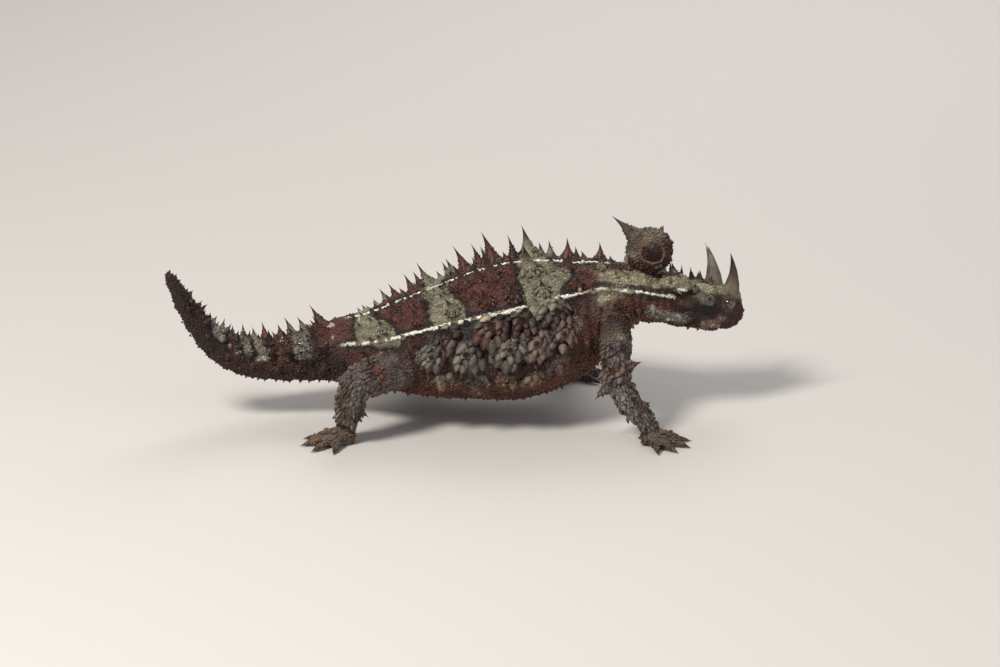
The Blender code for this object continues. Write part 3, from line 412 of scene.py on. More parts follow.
def head_markings(p):
    q = head_local(p)
    f, side, up = q[:, 0], np.abs(q[:, 1]), q[:, 2]
    n = len(p)
    wob = noise(p, 0.5, 21) * 0.5
    c = np.tile(UMBER * 1.15, (n, 1))
    c = over(c, BLACK, step(0.0, 0.5, noise(p, 0.3, 22)) * 0.6)
    top = step(4.2, 5.6, up + wob - 0.06 * f)
    c = over(c, over(np.tile(OLIVE * 0.9, (n, 1)), UMBER, step(0, 0.6, noise(p, 0.7, 23)) * 0.6), top * step(2.0, 4.0, side))
    c = over(c, MAROON * 0.8, top * (1 - step(2.0, 4.0, side)) * step(-0.3, 0.3, noise(p, 0.4, 24)))
    # Pale leaf behind the brow, the grey lobe under it, and the dark cheek.
    leaf = 1 - step(0.75, 1.05, np.sqrt(((f - 4.4 + wob) / 4.4) ** 2 + ((up - 6.2 + wob * 1.4) / 1.25) ** 2))
    c = over(c, CREAM * 0.92, leaf * step(4.5, 5.5, side))
    lobe = 1 - step(0.8, 1.1, np.sqrt(((f - 5.2 + wob * 1.6) / 3.6) ** 2 + ((up - 3.7 + wob * 1.2) / 1.5) ** 2))
    c = over(c, over(np.tile(GREY * 0.95, (n, 1)), UMBER, step(0.0, 0.6, noise(p, 0.9, 45)) * 0.6), lobe * step(5, 6, side))
    cheek = 1 - step(0.8, 1.1, np.sqrt(((f - 5.6) / 4.0) ** 2 + ((up - 0.7) / 1.5) ** 2))
    c = over(c, BLACK, cheek * step(5, 6, side))
    lips = 1 - step(0.8, 1.15, np.sqrt(((f - 10.2 + wob * 1.6) / 4.4) ** 2 + ((up + 2.0 - 0.35 * (f - 10) + wob * 1.4) / 1.7) ** 2))
    c = over(c, over(np.tile(rgb(112, 84, 72), (n, 1)), CREAM, step(0.1, 0.5, noise(p, 1.0, 25)) * 0.75), lips * step(3.5, 4.5, side))
    brow = step(5.4, 6.6, up + wob) * step(8.6, 10.0, f) * step(1.6, 2.4, side) * (1 - step(18.6, 19.6, f) * 0.8)
    c = over(c, over(np.tile(OLIVE, (n, 1)), CREAM, step(0.2, 0.7, noise(p, 1.2, 26)) * 0.4), brow)
    # Painted shade: the front and sides of the snout below its top are darkened, as if turned from the light.
    snout_shade = step(14.8, 16.4, f + wob * 1.5) * (1 - step(4.4, 5.8, up + wob))
    c = over(c, over(np.tile(rgb(74, 46, 37), (n, 1)), UMBER * 0.8, step(-0.1, 0.5, noise(p, 0.6, 44)) * 0.7), snout_shade)
    throat = band(up + wob * 1.4, -4.6, -1.9, 0.4) * (1 - step(1.0, 3.5, f + wob * 2)) * step(4.5, 5.5, side)
    c = over(c, over(np.tile(GREY * 1.2, (n, 1)), WHITE, step(0.2, 0.7, noise(p, 0.9, 27)) * 0.5), throat)
    under = step(-4.2, -5.2, up)
    c = over(c, rgb(92, 54, 42), under * 0.9)
    edge = 4.55 + 0.235 * f
    nape = (1 - step(1.2, 2.6, f)) * band(up + wob * 0.4, edge + 0.5, 9.6, 0.4) * step(3.2, 4.2, side)
    pale = over(np.tile(OLIVE * 1.05, (n, 1)), CREAM, step(0.0, 0.6, noise(p, 0.6, 29)) * 0.5)
    c = over(c, pale, nape)
    c = over(c, BLACK, (1 - step(1.2, 2.6, f)) * band(up, edge - 1.6, edge + 0.2, 0.25) * step(4, 5, side) * 0.85)
    c = over(c, WHITE, (1 - step(-1.6, -0.4, f)) * band(up + wob * 0.3, edge - 0.25, edge + 0.55, 0.12) * step(4, 5, side))
    socket = 1 - step(2.2, 2.9, np.linalg.norm(np.stack([f - EYE_AT[0], side - EYE_AT[1], up - EYE_AT[2]], 1), axis=1))
    c = over(c, over(np.tile(rgb(92, 80, 72), (n, 1)), UMBER, step(0.0, 0.5, noise(p, 1.1, 46)) * 0.7), socket)
    return c * (1 + 0.2 * noise(p, 1.4, 28))[:, None]


def leg_markings(p, share, hind, outer):
    n = len(p)
    c = np.tile(rgb(96, 86, 80), (n, 1))
    c = over(c, UMBER, step(-0.1, 0.5, noise(p, 0.35, 31)) * 0.75)
    c = over(c, GREY, step(0.15, 0.55, noise(p, 0.33, 32)) * 0.8)
    c = over(c, BRICK * 0.9, band(share + 0.05 * noise(p, 0.35, 33), 0.395, 0.445, 0.012) * step(-0.5, 0.1, noise(p, 0.3, 38)) * 0.85)
    c = over(c, MAROON * 0.8, (1 - step(0.22, 0.30, share)) * 0.7)
    c = over(c, rgb(150, 132, 96), (1 - step(0.30, 0.36, share)) * step(0.2, 0.6, noise(p, 0.3, 34)) * 0.7)
    dark = over(np.tile(UMBER * 1.1, (n, 1)), BLACK, step(-0.1, 0.4, noise(p, 0.4, 39)) * 0.7)
    c = over(c, dark, (1 - step(0.24, 0.40, share + 0.08 * noise(p, 0.3, 40))) * 0.85)
    foot = step(0.76, 0.82, share)
    sole = over(np.tile(rgb(92, 78, 66), (n, 1)), rgb(132, 104, 74), step(-0.1, 0.4, noise(p, 0.5, 35)) * 0.8 * hind)
    c = over(c, sole, foot * 0.85)
    c = over(c, BLACK, step(0.3, 0.7, noise(p, 0.6, 36)) * 0.6)
    return c * (1 + 0.22 * noise(p, 1.2, 37))[:, None]


def knob_markings(p):
    rel = (p - KNOB_AT) / KNOB_SIZE
    n = len(p)
    c = over(np.tile(MAROON * 0.62, (n, 1)), rgb(104, 94, 80), step(0.1, 0.5, rel[:, 2] - rel[:, 0] * 0.5 + noise(p, 0.35, 41) * 0.4))
    c = over(c, UMBER, step(-0.1, 0.5, noise(p, 0.4, 42)) * 0.6)
    centre = np.array(KNOB_SPINES[1][0]) / np.linalg.norm(KNOB_SPINES[1][0])
    near = unit(rel) @ centre
    far = np.array(KNOB_SPINES[0][0]) / np.linalg.norm(KNOB_SPINES[0][0])
    # Painted shade: a dark patch at the foot of the near great spine of the knob.
    c = over(c, BLACK, step(0.88, 0.94, near + noise(p, 0.5, 47) * 0.03) * step(-0.4, 0.2, rel[:, 0]) * 0.5)
    rows = np.maximum(band(near, 0.60, 0.68, 0.02), band(near, 0.40, 0.47, 0.02)) * (1 - step(-0.1, 0.25, rel[:, 2]))
    c = over(c, rgb(150, 124, 112), rows * step(-0.1, 0.2, noise(p, 0.7, 48)) * 0.8)
    c = over(c, rgb(104, 84, 70), band(near, 0.78, 0.90, 0.03) * 0.5)
    c = over(c, UMBER, step(0.80, 0.88, unit(rel) @ far) * 0.7)
    return c * (1 + 0.2 * noise(p, 1.2, 43))[:, None]


def markings(p, found=None):
    region, share, angle, _ = found or classify(p)
    colour = np.zeros((len(p), 3))
    for r in range(len(REGIONS)):
        mask = region == r
        if not mask.any():
            continue
        if r == 0:
            colour[mask] = trunk_markings(p[mask], angle[mask])
        elif r == 1:
            colour[mask] = head_markings(p[mask])
        elif r == 2:
            colour[mask] = knob_markings(p[mask])
        else:
            leg = REGIONS[r]
            colour[mask] = leg_markings(p[mask], share[mask], float(leg.startswith("hind")), None)
    return np.clip(colour, 0.003, 0.9)


# --------------------------------------------------------------------- materials
def skin_material(name, rough=0.62, grain=2600.0, bump=0.35, tone=0.28, spec=0.35):
    """Painted by the markings, broken up by noise, with a fine granular relief."""
    mat = bpy.data.materials.new(name)
    mat.use_nodes = True
    nt = mat.node_tree
    shader = nt.nodes["Principled BSDF"]
    shader.inputs["Specular IOR Level"].default_value = spec
    tint = nt.nodes.new("ShaderNodeAttribute")
    tint.attribute_name = "tint"
    place = nt.nodes.new("ShaderNodeTexCoord")
    cloud = nt.nodes.new("ShaderNodeTexNoise")
    cloud.inputs["Scale"].default_value = 620.0
    cloud.inputs["Detail"].default_value = 5.0
    cloud.inputs["Roughness"].default_value = 0.65
    nt.links.new(place.outputs["Object"], cloud.inputs["Vector"])
    ramp = nt.nodes.new("ShaderNodeMapRange")
    ramp.inputs["From Min"].default_value = 0.3
    ramp.inputs["From Max"].default_value = 0.7
    ramp.inputs["To Min"].default_value = 1.0 - tone
    ramp.inputs["To Max"].default_value = 1.0 + tone
    nt.links.new(cloud.outputs["Fac"], ramp.inputs["Value"])
    mix = nt.nodes.new("ShaderNodeMix")
    mix.data_type = "RGBA"
    mix.blend_type = "MULTIPLY"
    mix.inputs["Factor"].default_value = 1.0
    nt.links.new(tint.outputs["Color"], mix.inputs["A"])
    nt.links.new(ramp.outputs["Result"], mix.inputs["B"])
    nt.links.new(mix.outputs["Result"], shader.inputs["Base Color"])
    rr = nt.nodes.new("ShaderNodeMapRange")
    rr.inputs["From Min"].default_value = 0.25
    rr.inputs["From Max"].default_value = 0.75
    rr.inputs["To Min"].default_value = rough - 0.12
    rr.inputs["To Max"].default_value = rough + 0.14
    nt.links.new(cloud.outputs["Fac"], rr.inputs["Value"])
    nt.links.new(rr.outputs["Result"], shader.inputs["Roughness"])
    cells = nt.nodes.new("ShaderNodeTexVoronoi")
    cells.inputs["Scale"].default_value = grain
    nt.links.new(place.outputs["Object"], cells.inputs["Vector"])
    fine = nt.nodes.new("ShaderNodeTexNoise")
    fine.inputs["Scale"].default_value = grain * 2.2
    fine.inputs["Detail"].default_value = 3.0
    nt.links.new(place.outputs["Object"], fine.inputs["Vector"])
    add = nt.nodes.new("ShaderNodeMath")
    add.operation = "SUBTRACT"
    nt.links.new(fine.outputs["Fac"], add.inputs[0])
    nt.links.new(cells.outputs["Distance"], add.inputs[1])
    relief = nt.nodes.new("ShaderNodeBump")
    relief.inputs["Strength"].default_value = bump
    relief.inputs["Distance"].default_value = 0.00018
    nt.links.new(add.outputs["Value"], relief.inputs["Height"])
    nt.links.new(relief.outputs["Normal"], shader.inputs["Normal"])
    return mat


# ------------------------------------------------------------------ mesh helpers
def mesh_from(name, verts, faces, colours=None, uv=None, smooth=True, material=None):
    """An object from arrays in layout millimetres; faces is a list of (count, index array) groups."""
    v = (np.asarray(verts) - ORIGIN) * MM
    mesh = bpy.data.meshes.new(name)
    mesh.vertices.add(len(v))
    mesh.vertices.foreach_set("co", v.astype(np.float32).ravel())
    loops = np.concatenate([f.ravel() for _, f in faces]).astype(np.int32)
    counts = np.concatenate([np.full(len(f), k, np.int32) for k, f in faces])
    starts = np.concatenate([[0], np.cumsum(counts)[:-1]]).astype(np.int32)
    mesh.loops.add(len(loops))
    mesh.loops.foreach_set("vertex_index", loops)
    mesh.polygons.add(len(counts))
    mesh.polygons.foreach_set("loop_start", starts)
    mesh.polygons.foreach_set("loop_total", counts)
    mesh.update(calc_edges=True)
    mesh.validate()
    if colours is not None:
        attr = mesh.color_attributes.new("tint", "FLOAT_COLOR", "POINT")
        data = np.ones((len(v), 4), np.float32)
        data[:, :3] = np.clip(colours, 0, 1)
        attr.data.foreach_set("color", data.ravel())
    if uv is not None:
        layer = mesh.uv_layers.new(name="OFBake")
        index = np.empty(len(mesh.loops), np.int32)
        mesh.loops.foreach_get("vertex_index", index)
        layer.data.foreach_set("uv", uv[index].astype(np.float32).ravel())
    if smooth:
        mesh.polygons.foreach_set("use_smooth", np.ones(len(mesh.polygons), bool))
    obj = bpy.data.objects.new(name, mesh)
    bpy.context.scene.collection.objects.link(obj)
    if material:
        mesh.materials.append(material)
    return obj


def form(bm, rings):
    """Adds a closed tube through rings of points."""
    made = [[bm.verts.new(p) for p in ring] for ring in rings]
    n = len(made[0])
    for a, b in zip(made, made[1:]):
        for k in range(n):
            bm.faces.new((a[k], a[(k + 1) % n], b[(k + 1) % n], b[k]))
    bm.faces.new(list(reversed(made[0])))
    bm.faces.new(made[-1])


def limb(bm, joints, radii, sides=20, per=6):
    rows = smooth_steps([tuple(p) + (r,) for p, r in zip(joints, radii)], per)
    rings = []
    for i, row in enumerate(rows):
        t = unit(rows[min(i + 1, len(rows) - 1), :3] - rows[max(i - 1, 0), :3])
        side = unit(np.cross(t, (0.13, 0.07, 1.0)))
        up = np.cross(side, t)
        w = np.linspace(0, 2 * np.pi, sides, endpoint=False)[:, None]
        rings.append(row[:3] + row[3] * (side * np.cos(w) + up * np.sin(w)))
    t0, t1 = unit(rows[0, :3] - rows[1, :3]), unit(rows[-1, :3] - rows[-2, :3])
    for share, out in ((0.8, 0.5), (0.4, 0.86)):
        rings.insert(0, rows[0, :3] + (rings[0 if share == 0.8 else 1] - rows[0, :3] - 0) * 0 + share * (rings[0 if share == 0.8 else 1] - rows[0, :3]) + t0 * rows[0, 3] * out)
    last = rings[-1].copy()
    for share, out in ((0.8, 0.5), (0.4, 0.86)):
        rings.append(rows[-1, :3] + share * (last - rows[-1, :3]) + t1 * rows[-1, 3] * out)
    form(bm, rings)


def ball(bm, at, size, turn=None, segments=20, rings=14):
    m = Matrix.Translation(Vector(at)) @ (turn or Matrix.Identity(4)) @ Matrix.Diagonal((*size, 1.0))
    bmesh.ops.create_uvsphere(bm, u_segments=segments, v_segments=rings, radius=1.0, matrix=m)


def feet_plan(leg):
    """Palm and toes of one foot: middle, heading and each toe's start, end and way."""
    kind = leg.split("_")[0]
    heading = math.radians(FOOT_HEADING[leg])
    ahead = np.array((math.cos(heading), math.sin(heading), 0.0))
    across = np.array((-math.sin(heading), math.cos(heading), 0.0))
    palm = PALM[kind]
    middle = np.array((LEGS[leg][3][0], LEGS[leg][3][1], 0.0)) + ahead * palm[0] * 0.45 + (0, 0, 1.7)
    toes = []
    for k, spread in enumerate(TOE_FAN):
        b = math.radians(spread)
        way = np.array((math.cos(heading + b), math.sin(heading + b), 0.0))
        start = middle + ahead * palm[0] * 0.38 * math.cos(b) + across * palm[1] * 0.72 * math.sin(b)
        start[2] = 1.55
        end = start + way * (palm[0] * 0.4 + TOE_LENGTH[kind][k])
        end[2] = 0.95
        toes.append((start, end, way))
    return kind, heading, palm, middle, toes


# ---------------------------------------------------------------------- the skin
HEAD_TURN = head_matrix().to_3x3().to_4x4()
HEAD_LUMPS = (
    # forward, side, up; size; both sides
    ((14.8, 3.8, 5.6), (3.3, 1.9, 3.0)),
    ((11.2, 4.6, 6.4), (3.4, 1.8, 1.5)),
    ((13.6, 5.6, 4.2), (2.35, 1.55, 2.25)),
    ((-3.3, 6.0, 4.6), (5.0, 2.3, 3.5)),
    ((17.6, 3.5, 4.9), (1.2, 1.3, 1.6)),
    ((4.4, 6.6, 6.0), (4.2, 1.5, 1.25)),
    ((5.2, 7.7, 3.6), (3.4, 1.2, 1.35)),
    ((8.4, 6.9, -2.6), (4.8, 1.5, 1.9)),
    ((17.4, 3.4, 4.4), (1.5, 1.2, 2.2)),
    ((-3.0, 6.9, -2.8), (5.2, 1.7, 1.8)),
    ((1.0, 7.9, 0.6), (2.6, 1.1, 1.3)),
)


def build_skin():
    bm = bmesh.new()
    rings = []
    w = np.linspace(0, 2 * np.pi, 56, endpoint=False)
    for i in range(0, len(FINE), 2):
        a = np.where(np.cos(w) > 0, FINE[i, 4], FINE[i, 5]) - DEPTH * min(1, FINE[i, 4] / 3)
        b = FINE[i, 3] - DEPTH * min(1, FINE[i, 3] / 3)
        rings.append(BC[i] + BS[i] * (b * np.sin(w))[:, None] + BU[i] * (a * np.cos(w))[:, None])
    form(bm, rings)
    rings = []
    for f, u, hw, high, low in HEAD_FINE[::2]:
        c, s = np.cos(w + 0.001), np.sin(w + 0.001)
        c, s = np.sign(c) * np.abs(c) ** 0.86, np.sign(s) * np.abs(s) ** 0.86
        cut = DEPTH * min(1, hw / 3)
        rings.append(head_place(np.stack([np.full(len(w), f), (hw - cut) * s, u + (np.where(c > 0, high, low) - cut) * c], 1)))
    form(bm, rings)
    for at, size in HEAD_LUMPS:
        for side in (-1, 1):
            ball(bm, head_place((at[0], at[1] * side, at[2])), size, HEAD_TURN)
    ball(bm, KNOB_AT, [s - DEPTH for s in KNOB_SIZE], None, 32, 22)
    for leg, joints in LEGS.items():
        kind, heading, palm, middle, toes = feet_plan(leg)
        limb(bm, joints, [r - 0.3 for r in LEG_RADII[kind]])
        ball(bm, middle, [s - 0.2 for s in palm], Matrix.Rotation(heading, 4, "Z"))
        for start, end, way in toes:
            limb(bm, (start, (start + end) / 2 + (0, 0, 0.25), end), [TOE_RADIUS * s - 0.08 for s in (1.25, 1.12, 0.95)], 10, 4)
    bmesh.ops.triangulate(bm, faces=bm.faces)
    bmesh.ops.recalc_face_normals(bm, faces=bm.faces)
    mesh = bpy.data.meshes.new("skin")
    bm.to_mesh(mesh)
    bm.free()
    obj = bpy.data.objects.new("skin", mesh)
    bpy.context.scene.collection.objects.link(obj)
    mod = obj.modifiers.new("remesh", "REMESH")
    mod.mode = "VOXEL"
    mod.voxel_size = 0.5
    mod = obj.modifiers.new("smooth", "SMOOTH")
    mod.factor = 0.5
    mod.iterations = 3
    graph = bpy.context.evaluated_depsgraph_get()
    mesh = bpy.data.meshes.new_from_object(obj.evaluated_get(graph))
    bpy.data.objects.remove(obj, do_unlink=True)
    # Finer faces round the eyes and the muzzle.
    bm = bmesh.new()
    bm.from_mesh(mesh)
    eyes = [Vector(head_place((EYE_AT[0], EYE_AT[1] * s, EYE_AT[2]))) for s in (-1, 1)]
    tip = Vector(head_place((17.5, 0, 0.5)))
    edges = [e for e in bm.edges if any((e.verts[0].co - p).length < 3.6 for p in eyes) or (e.verts[0].co - tip).length < 6.0]
    bmesh.ops.subdivide_edges(bm, edges=edges, cuts=1, use_grid_fill=True)
    bmesh.ops.triangulate(bm, faces=[f for f in bm.faces if len(f.verts) > 4])
    bm.to_mesh(mesh)
    bm.free()
    return mesh


def shape_skin(mesh):
    """Folds, wrinkles, lids, nostrils and the mouth line, as moves of the skin's points."""
    n = len(mesh.vertices)
    p = np.empty(n * 3, np.float32)
    mesh.vertices.foreach_get("co", p)
    p = p.reshape(-1, 3).astype(float)
    normal = np.empty(n * 3, np.float32)
    mesh.vertices.foreach_get("normal", normal)
    normal = normal.reshape(-1, 3).astype(float)
    found = classify(p)
    region, share, angle, lie = found
    a = np.degrees(np.abs(angle))
    move = noise(p, 0.3, 51) * 0.16 + noise(p, 0.75, 52) * 0.12
    i = nearest(p, BC)
    x = BC[i, 0]
    trunk = region == 0
    move += trunk * step(40, 44, x) * band(a, 15, 110, 10) * 0.26 * np.sin(2 * np.pi * x / 2.1 + noise(p, 0.3, 53) * 2.5)
    move += trunk * band(x, 30, 40, 2) * band(a, 60, 120, 8) * 0.3 * np.sin(2 * np.pi * (x + 0.5 * a / 8) / 2.4 + noise(p, 0.3, 54) * 2)
    move += trunk * band(x, -31, -14, 3) * band(a, 70, 130, 8) * 0.25 * np.sin(2 * np.pi * x / 2.6 + noise(p, 0.3, 55) * 2)
    move += trunk * step(-34, -38, x) * 0.16 * np.sin(2 * np.pi * x / 2.9) * step(2.0, 3.5, BR[i])
    move[region >= 3] += 0.14 * np.sin(share[region >= 3] * 95)
    move[p[:, 2] < 2.6] *= 0.25
    head = region == 1
    q = head_local(p)
    side = np.abs(q[:, 1])
    # Mouth line from the snout's tip to below the cheek.
    lip = np.interp(q[:, 0], (6.0, 9.0, 13.0, 17.0, 20.0, 21.5), (-3.4, -3.7, -2.8, -1.1, 0.1, 0.3))
    move -= head * np.exp(-((q[:, 2] - lip) / 0.32) ** 2) * step(6.5, 8.5, q[:, 0]) * 0.55
    # Nostrils.
    for s in (-1, 1):
        hole = np.linalg.norm(q - (20.6, 1.6 * s, 3.7), axis=1)
        move += head * (0.30 * np.exp(-((hole - 0.75) / 0.3) ** 2) - 0.75 * np.exp(-(hole / 0.42) ** 2))
    move *= np.where(head & (q[:, 0] > 21.2), 0.4, 1.0)
    p += normal * move[:, None]
    # Lids: a rim round each eye, and skin that turns in under the eyeball.
    for s in (-1, 1):
        centre = head_place((EYE_AT[0], EYE_AT[1] * s, EYE_AT[2]))
        out = head_dir((0.18, s, 0.12))
        rel = p - centre
        r = np.linalg.norm(rel, axis=1)
        along = rel @ out
        tangent = rel - along[:, None] * out
        f = (tangent @ head_dir((1, 0, 0))) / 1.62
        u = (tangent @ head_dir((0, 0, 1))) / np.where(tangent @ head_dir((0, 0, 1)) > 0, 1.08, 1.16)
        oval = np.hypot(f, u)
        near = (r < 3.6) & (along > 0.2)
        inside = near & (oval < 1.0)
        p[inside] = centre + (rel[inside] / r[inside][:, None]) * (EYE_RADIUS - 0.32)
        rim = near & (oval >= 1.0)
        lift = np.exp(-((oval - 1.22) / 0.2) ** 2) * 0.34 - np.exp(-((oval - 1.75) / 0.2) ** 2) * 0.16
        want = np.maximum(r, EYE_RADIUS + 0.12) + lift
        blend = np.exp(-(np.maximum(oval - 1.0, 0) / 1.1) ** 2)
        p[rim] = centre + (rel[rim] / r[rim][:, None]) * (r[rim] + (want[rim] - r[rim]) * blend[rim])[:, None]
    p[:, 2] = np.maximum(p[:, 2], 0.03)
    mesh.vertices.foreach_set("co", p.astype(np.float32).ravel())
    mesh.update()
    return p, classify(p)


# ------------------------------------------------------------------ spines
SPINES = {"trunk": [], "head": [], "knob": [], "leg": []}


def add_spine(group, root, axis, bend, height, radius, kind):
    SPINES[group].append((np.array(root, float), unit(np.array(axis, float)), np.array(bend, float), float(height), float(radius), kind))


def near_limb(point, room):
    for leg, joints in LEGS.items():
        radii = LEG_RADII[leg.split("_")[0]]
        for i in (1, 2):
            a, b = np.array(joints[i]), np.array(joints[i + 1])
            t = min(max(float((point - a) @ (b - a)) / float((b - a) @ (b - a)), 0.0), 1.0)
            if np.linalg.norm(point - a - (b - a) * t) < radii[i] + (radii[i + 1] - radii[i]) * t + room:
                return True
    return False


def trunk_spine(x, degrees, side, lean, height, radius, kind):
    at, normal, back = (v[0] for v in body_point(x, degrees, side))
    axis = unit(normal + np.array((0, 0, 0.18 if degrees < 100 else -0.25)))
    if near_limb(at + axis * height * 0.5, radius * 0.7 + 0.2) or near_limb(at + axis * height, 0.4):
        return
    add_spine("trunk", at, axis, back * math.tan(math.radians(lean)) * 0.8, height, radius, kind)


def plan_spines():
    for degrees, lean, places in TRUNK_ROWS:
        for x, height, radius in places:
            for side in (1, -1):
                trunk_spine(x, degrees, side, lean, height, radius, "great")
    # Lesser spines fill the lanes between the rows.
    for degrees, lean, height, pitch in ((9, 22, 1.5, 3.3), (29, 20, 1.9, 3.1), (53, 18, 1.7, 2.9), (76, 16, 1.8, 3.1), (101, 10, 1.7, 3.0), (126, 5, 1.1, 3.2), (142, 0, 0.9, 3.4), (160, 0, 0.7, 3.6)):
        for side in (1, -1):
            x = -28.0
            while x < 44.0:
                x += pitch * RNG.uniform(0.75, 1.3)
                turn = degrees + RNG.uniform(-4, 4)
                size = height * RNG.uniform(0.7, 1.25)
                at = body_point(x, turn, side)[0][0]
                if all(np.linalg.norm(at - s[0]) > s[4] * 0.95 + 0.75 for s in SPINES["trunk"]):
                    trunk_spine(x, turn, side, lean, size, size * 0.62 + 0.25, "lesser")
    for degrees, count, (h0, r0), (h1, r1) in TAIL_ROWS:
        for k in range(count):
            t = (k + 0.35) / count
            x = TAIL_FROM + (TAIL_TO - TAIL_FROM) * (1 - (1 - t) ** 1.25)
            for side in (1, -1):
                at, normal, back = (v[0] for v in body_point(x, degrees, side))
                height = (h0 + (h1 - h0) * t) * (1.0 if k % 2 == 0 else 0.72)
                add_spine("trunk", at, normal, back * 0.16, height, r0 + (r1 - r0) * t, "great")
    for degrees in (2, 40, 82, 122, 158):
        for side in (1, -1):
            x = -33.0
            while x > -73.5:
                x -= RNG.uniform(1.8, 2.8)
                at, normal, back = (v[0] for v in body_point(x, degrees + RNG.uniform(-6, 6), side))
                thick = np.interp(x, (-74, -60, -40), (0.45, 0.8, 1.0))
                if all(np.linalg.norm(at - s[0]) > s[4] + 0.5 for s in SPINES["trunk"]):
                    add_spine("trunk", at, normal, back * 0.3, (1.3 if degrees < 100 else 0.7) * thick, 0.75 * thick, "lesser")
    for at, way, height, radius in HEAD_SPINES:
        for side in (-1, 1):
            add_spine("head", head_place((at[0], at[1] * side, at[2])), head_dir((way[0], way[1] * side, way[2])), head_dir((-1, 0, 0)) * 0.12, height, radius, "great")
    for way, height, radius in KNOB_SPINES:
        way = unit(np.array(way))
        reach = 1.0 / math.sqrt(float(((way / np.array(KNOB_SIZE)) ** 2).sum()))
        add_spine("knob", np.array(KNOB_AT) + way * reach * 0.97, way, (-0.42, 0, 0.30) if way[1] < -0.8 else (-0.12, 0, 0.02), height, radius, "great")
    for leg, joints in LEGS.items():
        kind, hand = leg.split("_")
        out = np.array((0, -1.0 if hand == "right" else 1.0, 0))
        radii = LEG_RADII[kind]
        hip, knee, ankle = (np.array(joints[i]) for i in (1, 2, 3))
        backward = np.array((-1.0, 0, 0)) if leg != "hind_left" else np.array((-0.6, 0, 0.2))
        ahead = -backward
        up = np.array((0, 0, 1.0))
        places = (
            (hip, knee, 0.38, radii[1], radii[2], out * 0.55 + up + backward * 0.3, 3.6, 2.1),
            (hip, knee, 0.66, radii[1], radii[2], ahead * 0.9 + out * 0.5, 3.6, 2.0),
            (hip, knee, 0.84, radii[1], radii[2], out * 0.8 + up * 0.9 + backward * 0.5, 4.2, 2.0),
            (knee, ankle, -0.10, radii[2], radii[3], backward + out * 0.35 - up * 0.35, 4.4, 1.9),
            (knee, ankle, 0.36, radii[2], radii[3], out + ahead * 0.35 + up * 0.2, 2.6, 1.7),
            (knee, ankle, 0.62, radii[2], radii[3], ahead * 0.9 + out * 0.5, 2.4, 1.4),
        )
        for a, b, t, ra, rb, way, height, radius in places:
            line = unit(b - a)
            way = unit(way - line * float(way @ line))
            at = a + (b - a) * t + way * (ra + (rb - ra) * t) * 0.92
            add_spine("leg", at, way, (-line if t > 0.5 and a is hip else line) * 0.1, height, radius, "great")


def spine_mesh(spines, sides=14, rings=13):
    """All spines of a list in one set of arrays: hollow-flared cones, ribbed low down, with thin dark tips."""
    count = len(spines)
    root = np.array([s[0] for s in spines])
    axis = np.array([s[1] for s in spines])
    bend = np.array([s[2] for s in spines])
    height = np.array([s[3] for s in spines])
    radius = np.array([s[4] for s in spines])
    side = unit(np.cross(axis, bend + np.array((1e-4, 2e-4, 3e-4))))
    other = np.cross(side, axis)
    length = height + radius * 0.55
    start = root - axis * (radius * 0.55)[:, None]
    t = np.linspace(0, 1, rings) ** 0.85
    w = np.linspace(0, 2 * np.pi, sides, endpoint=False)
    phase = RNG.uniform(0, 6.28, count)
    ribs = RNG.integers(4, 7, count)
    T, W = np.meshgrid(t, w, indexing="ij")
    flare = 0.66 * (1 - T) ** 2.0 + 0.34 * (1 - T) ** 1.05
    wobble = 1 + 0.10 * np.cos(W[None] * ribs[:, None, None] + phase[:, None, None]) * (1 - T[None]) + 0.05 * np.sin(T[None] * 22 + phase[:, None, None] + W[None] * 2) * (1 - T[None])
    r = radius[:, None, None] * flare[None] * wobble + 0.03 * (1 - T[None]) + 0.012
    pos = (start[:, None, None] + axis[:, None, None] * (length[:, None, None] * T[None])[..., None]
           + bend[:, None, None] * (length[:, None, None] * T[None] ** 2)[..., None]
           + r[..., None] * (side[:, None, None] * np.cos(W)[None, ..., None] + other[:, None, None] * np.sin(W)[None, ..., None]))
    verts = pos.reshape(-1, 3)
    k = np.arange(sides)
    quads = []
    for j in range(rings - 1):
        quads.append(np.stack([j * sides + k, j * sides + (k + 1) % sides, (j + 1) * sides + (k + 1) % sides, (j + 1) * sides + k], 1))
    quads = np.concatenate(quads)
    base = np.arange(count)[:, None, None] * (rings * sides)
    quads = (quads[None] + base).reshape(-1, 4)
    low = (k[::-1][None] + np.arange(count)[:, None] * (rings * sides))
    high = (k[None] + (rings - 1) * sides + np.arange(count)[:, None] * (rings * sides))
    found = classify(root)
    tone = np.minimum(markings(root - axis * 0.2, found), CREAM * 0.75)
    return verts, [(4, quads), (sides, low), (sides, high)], (T, W, tone, found, count, rings, sides)


def spine_colours(verts, info, thorn=0.62):
    T, W, tone, found, count, rings, sides = info
    t = np.broadcast_to(T[None], (count, rings, sides)).reshape(-1)
    skin = np.minimum(markings(verts), CREAM * 0.9)
    base = np.repeat(tone, rings * sides, axis=0)
    c = over(skin, base, step(0.12, 0.3, t))
    c = over(c, c * 0.55, step(0.30, 0.55, t))
    c = over(c, THORN, step(thorn - 0.12, thorn + 0.1, t))
    c = c * (1 + 0.25 * noise(verts, 1.6, 61))[:, None]
    return np.clip(c, 0.003, 0.9)


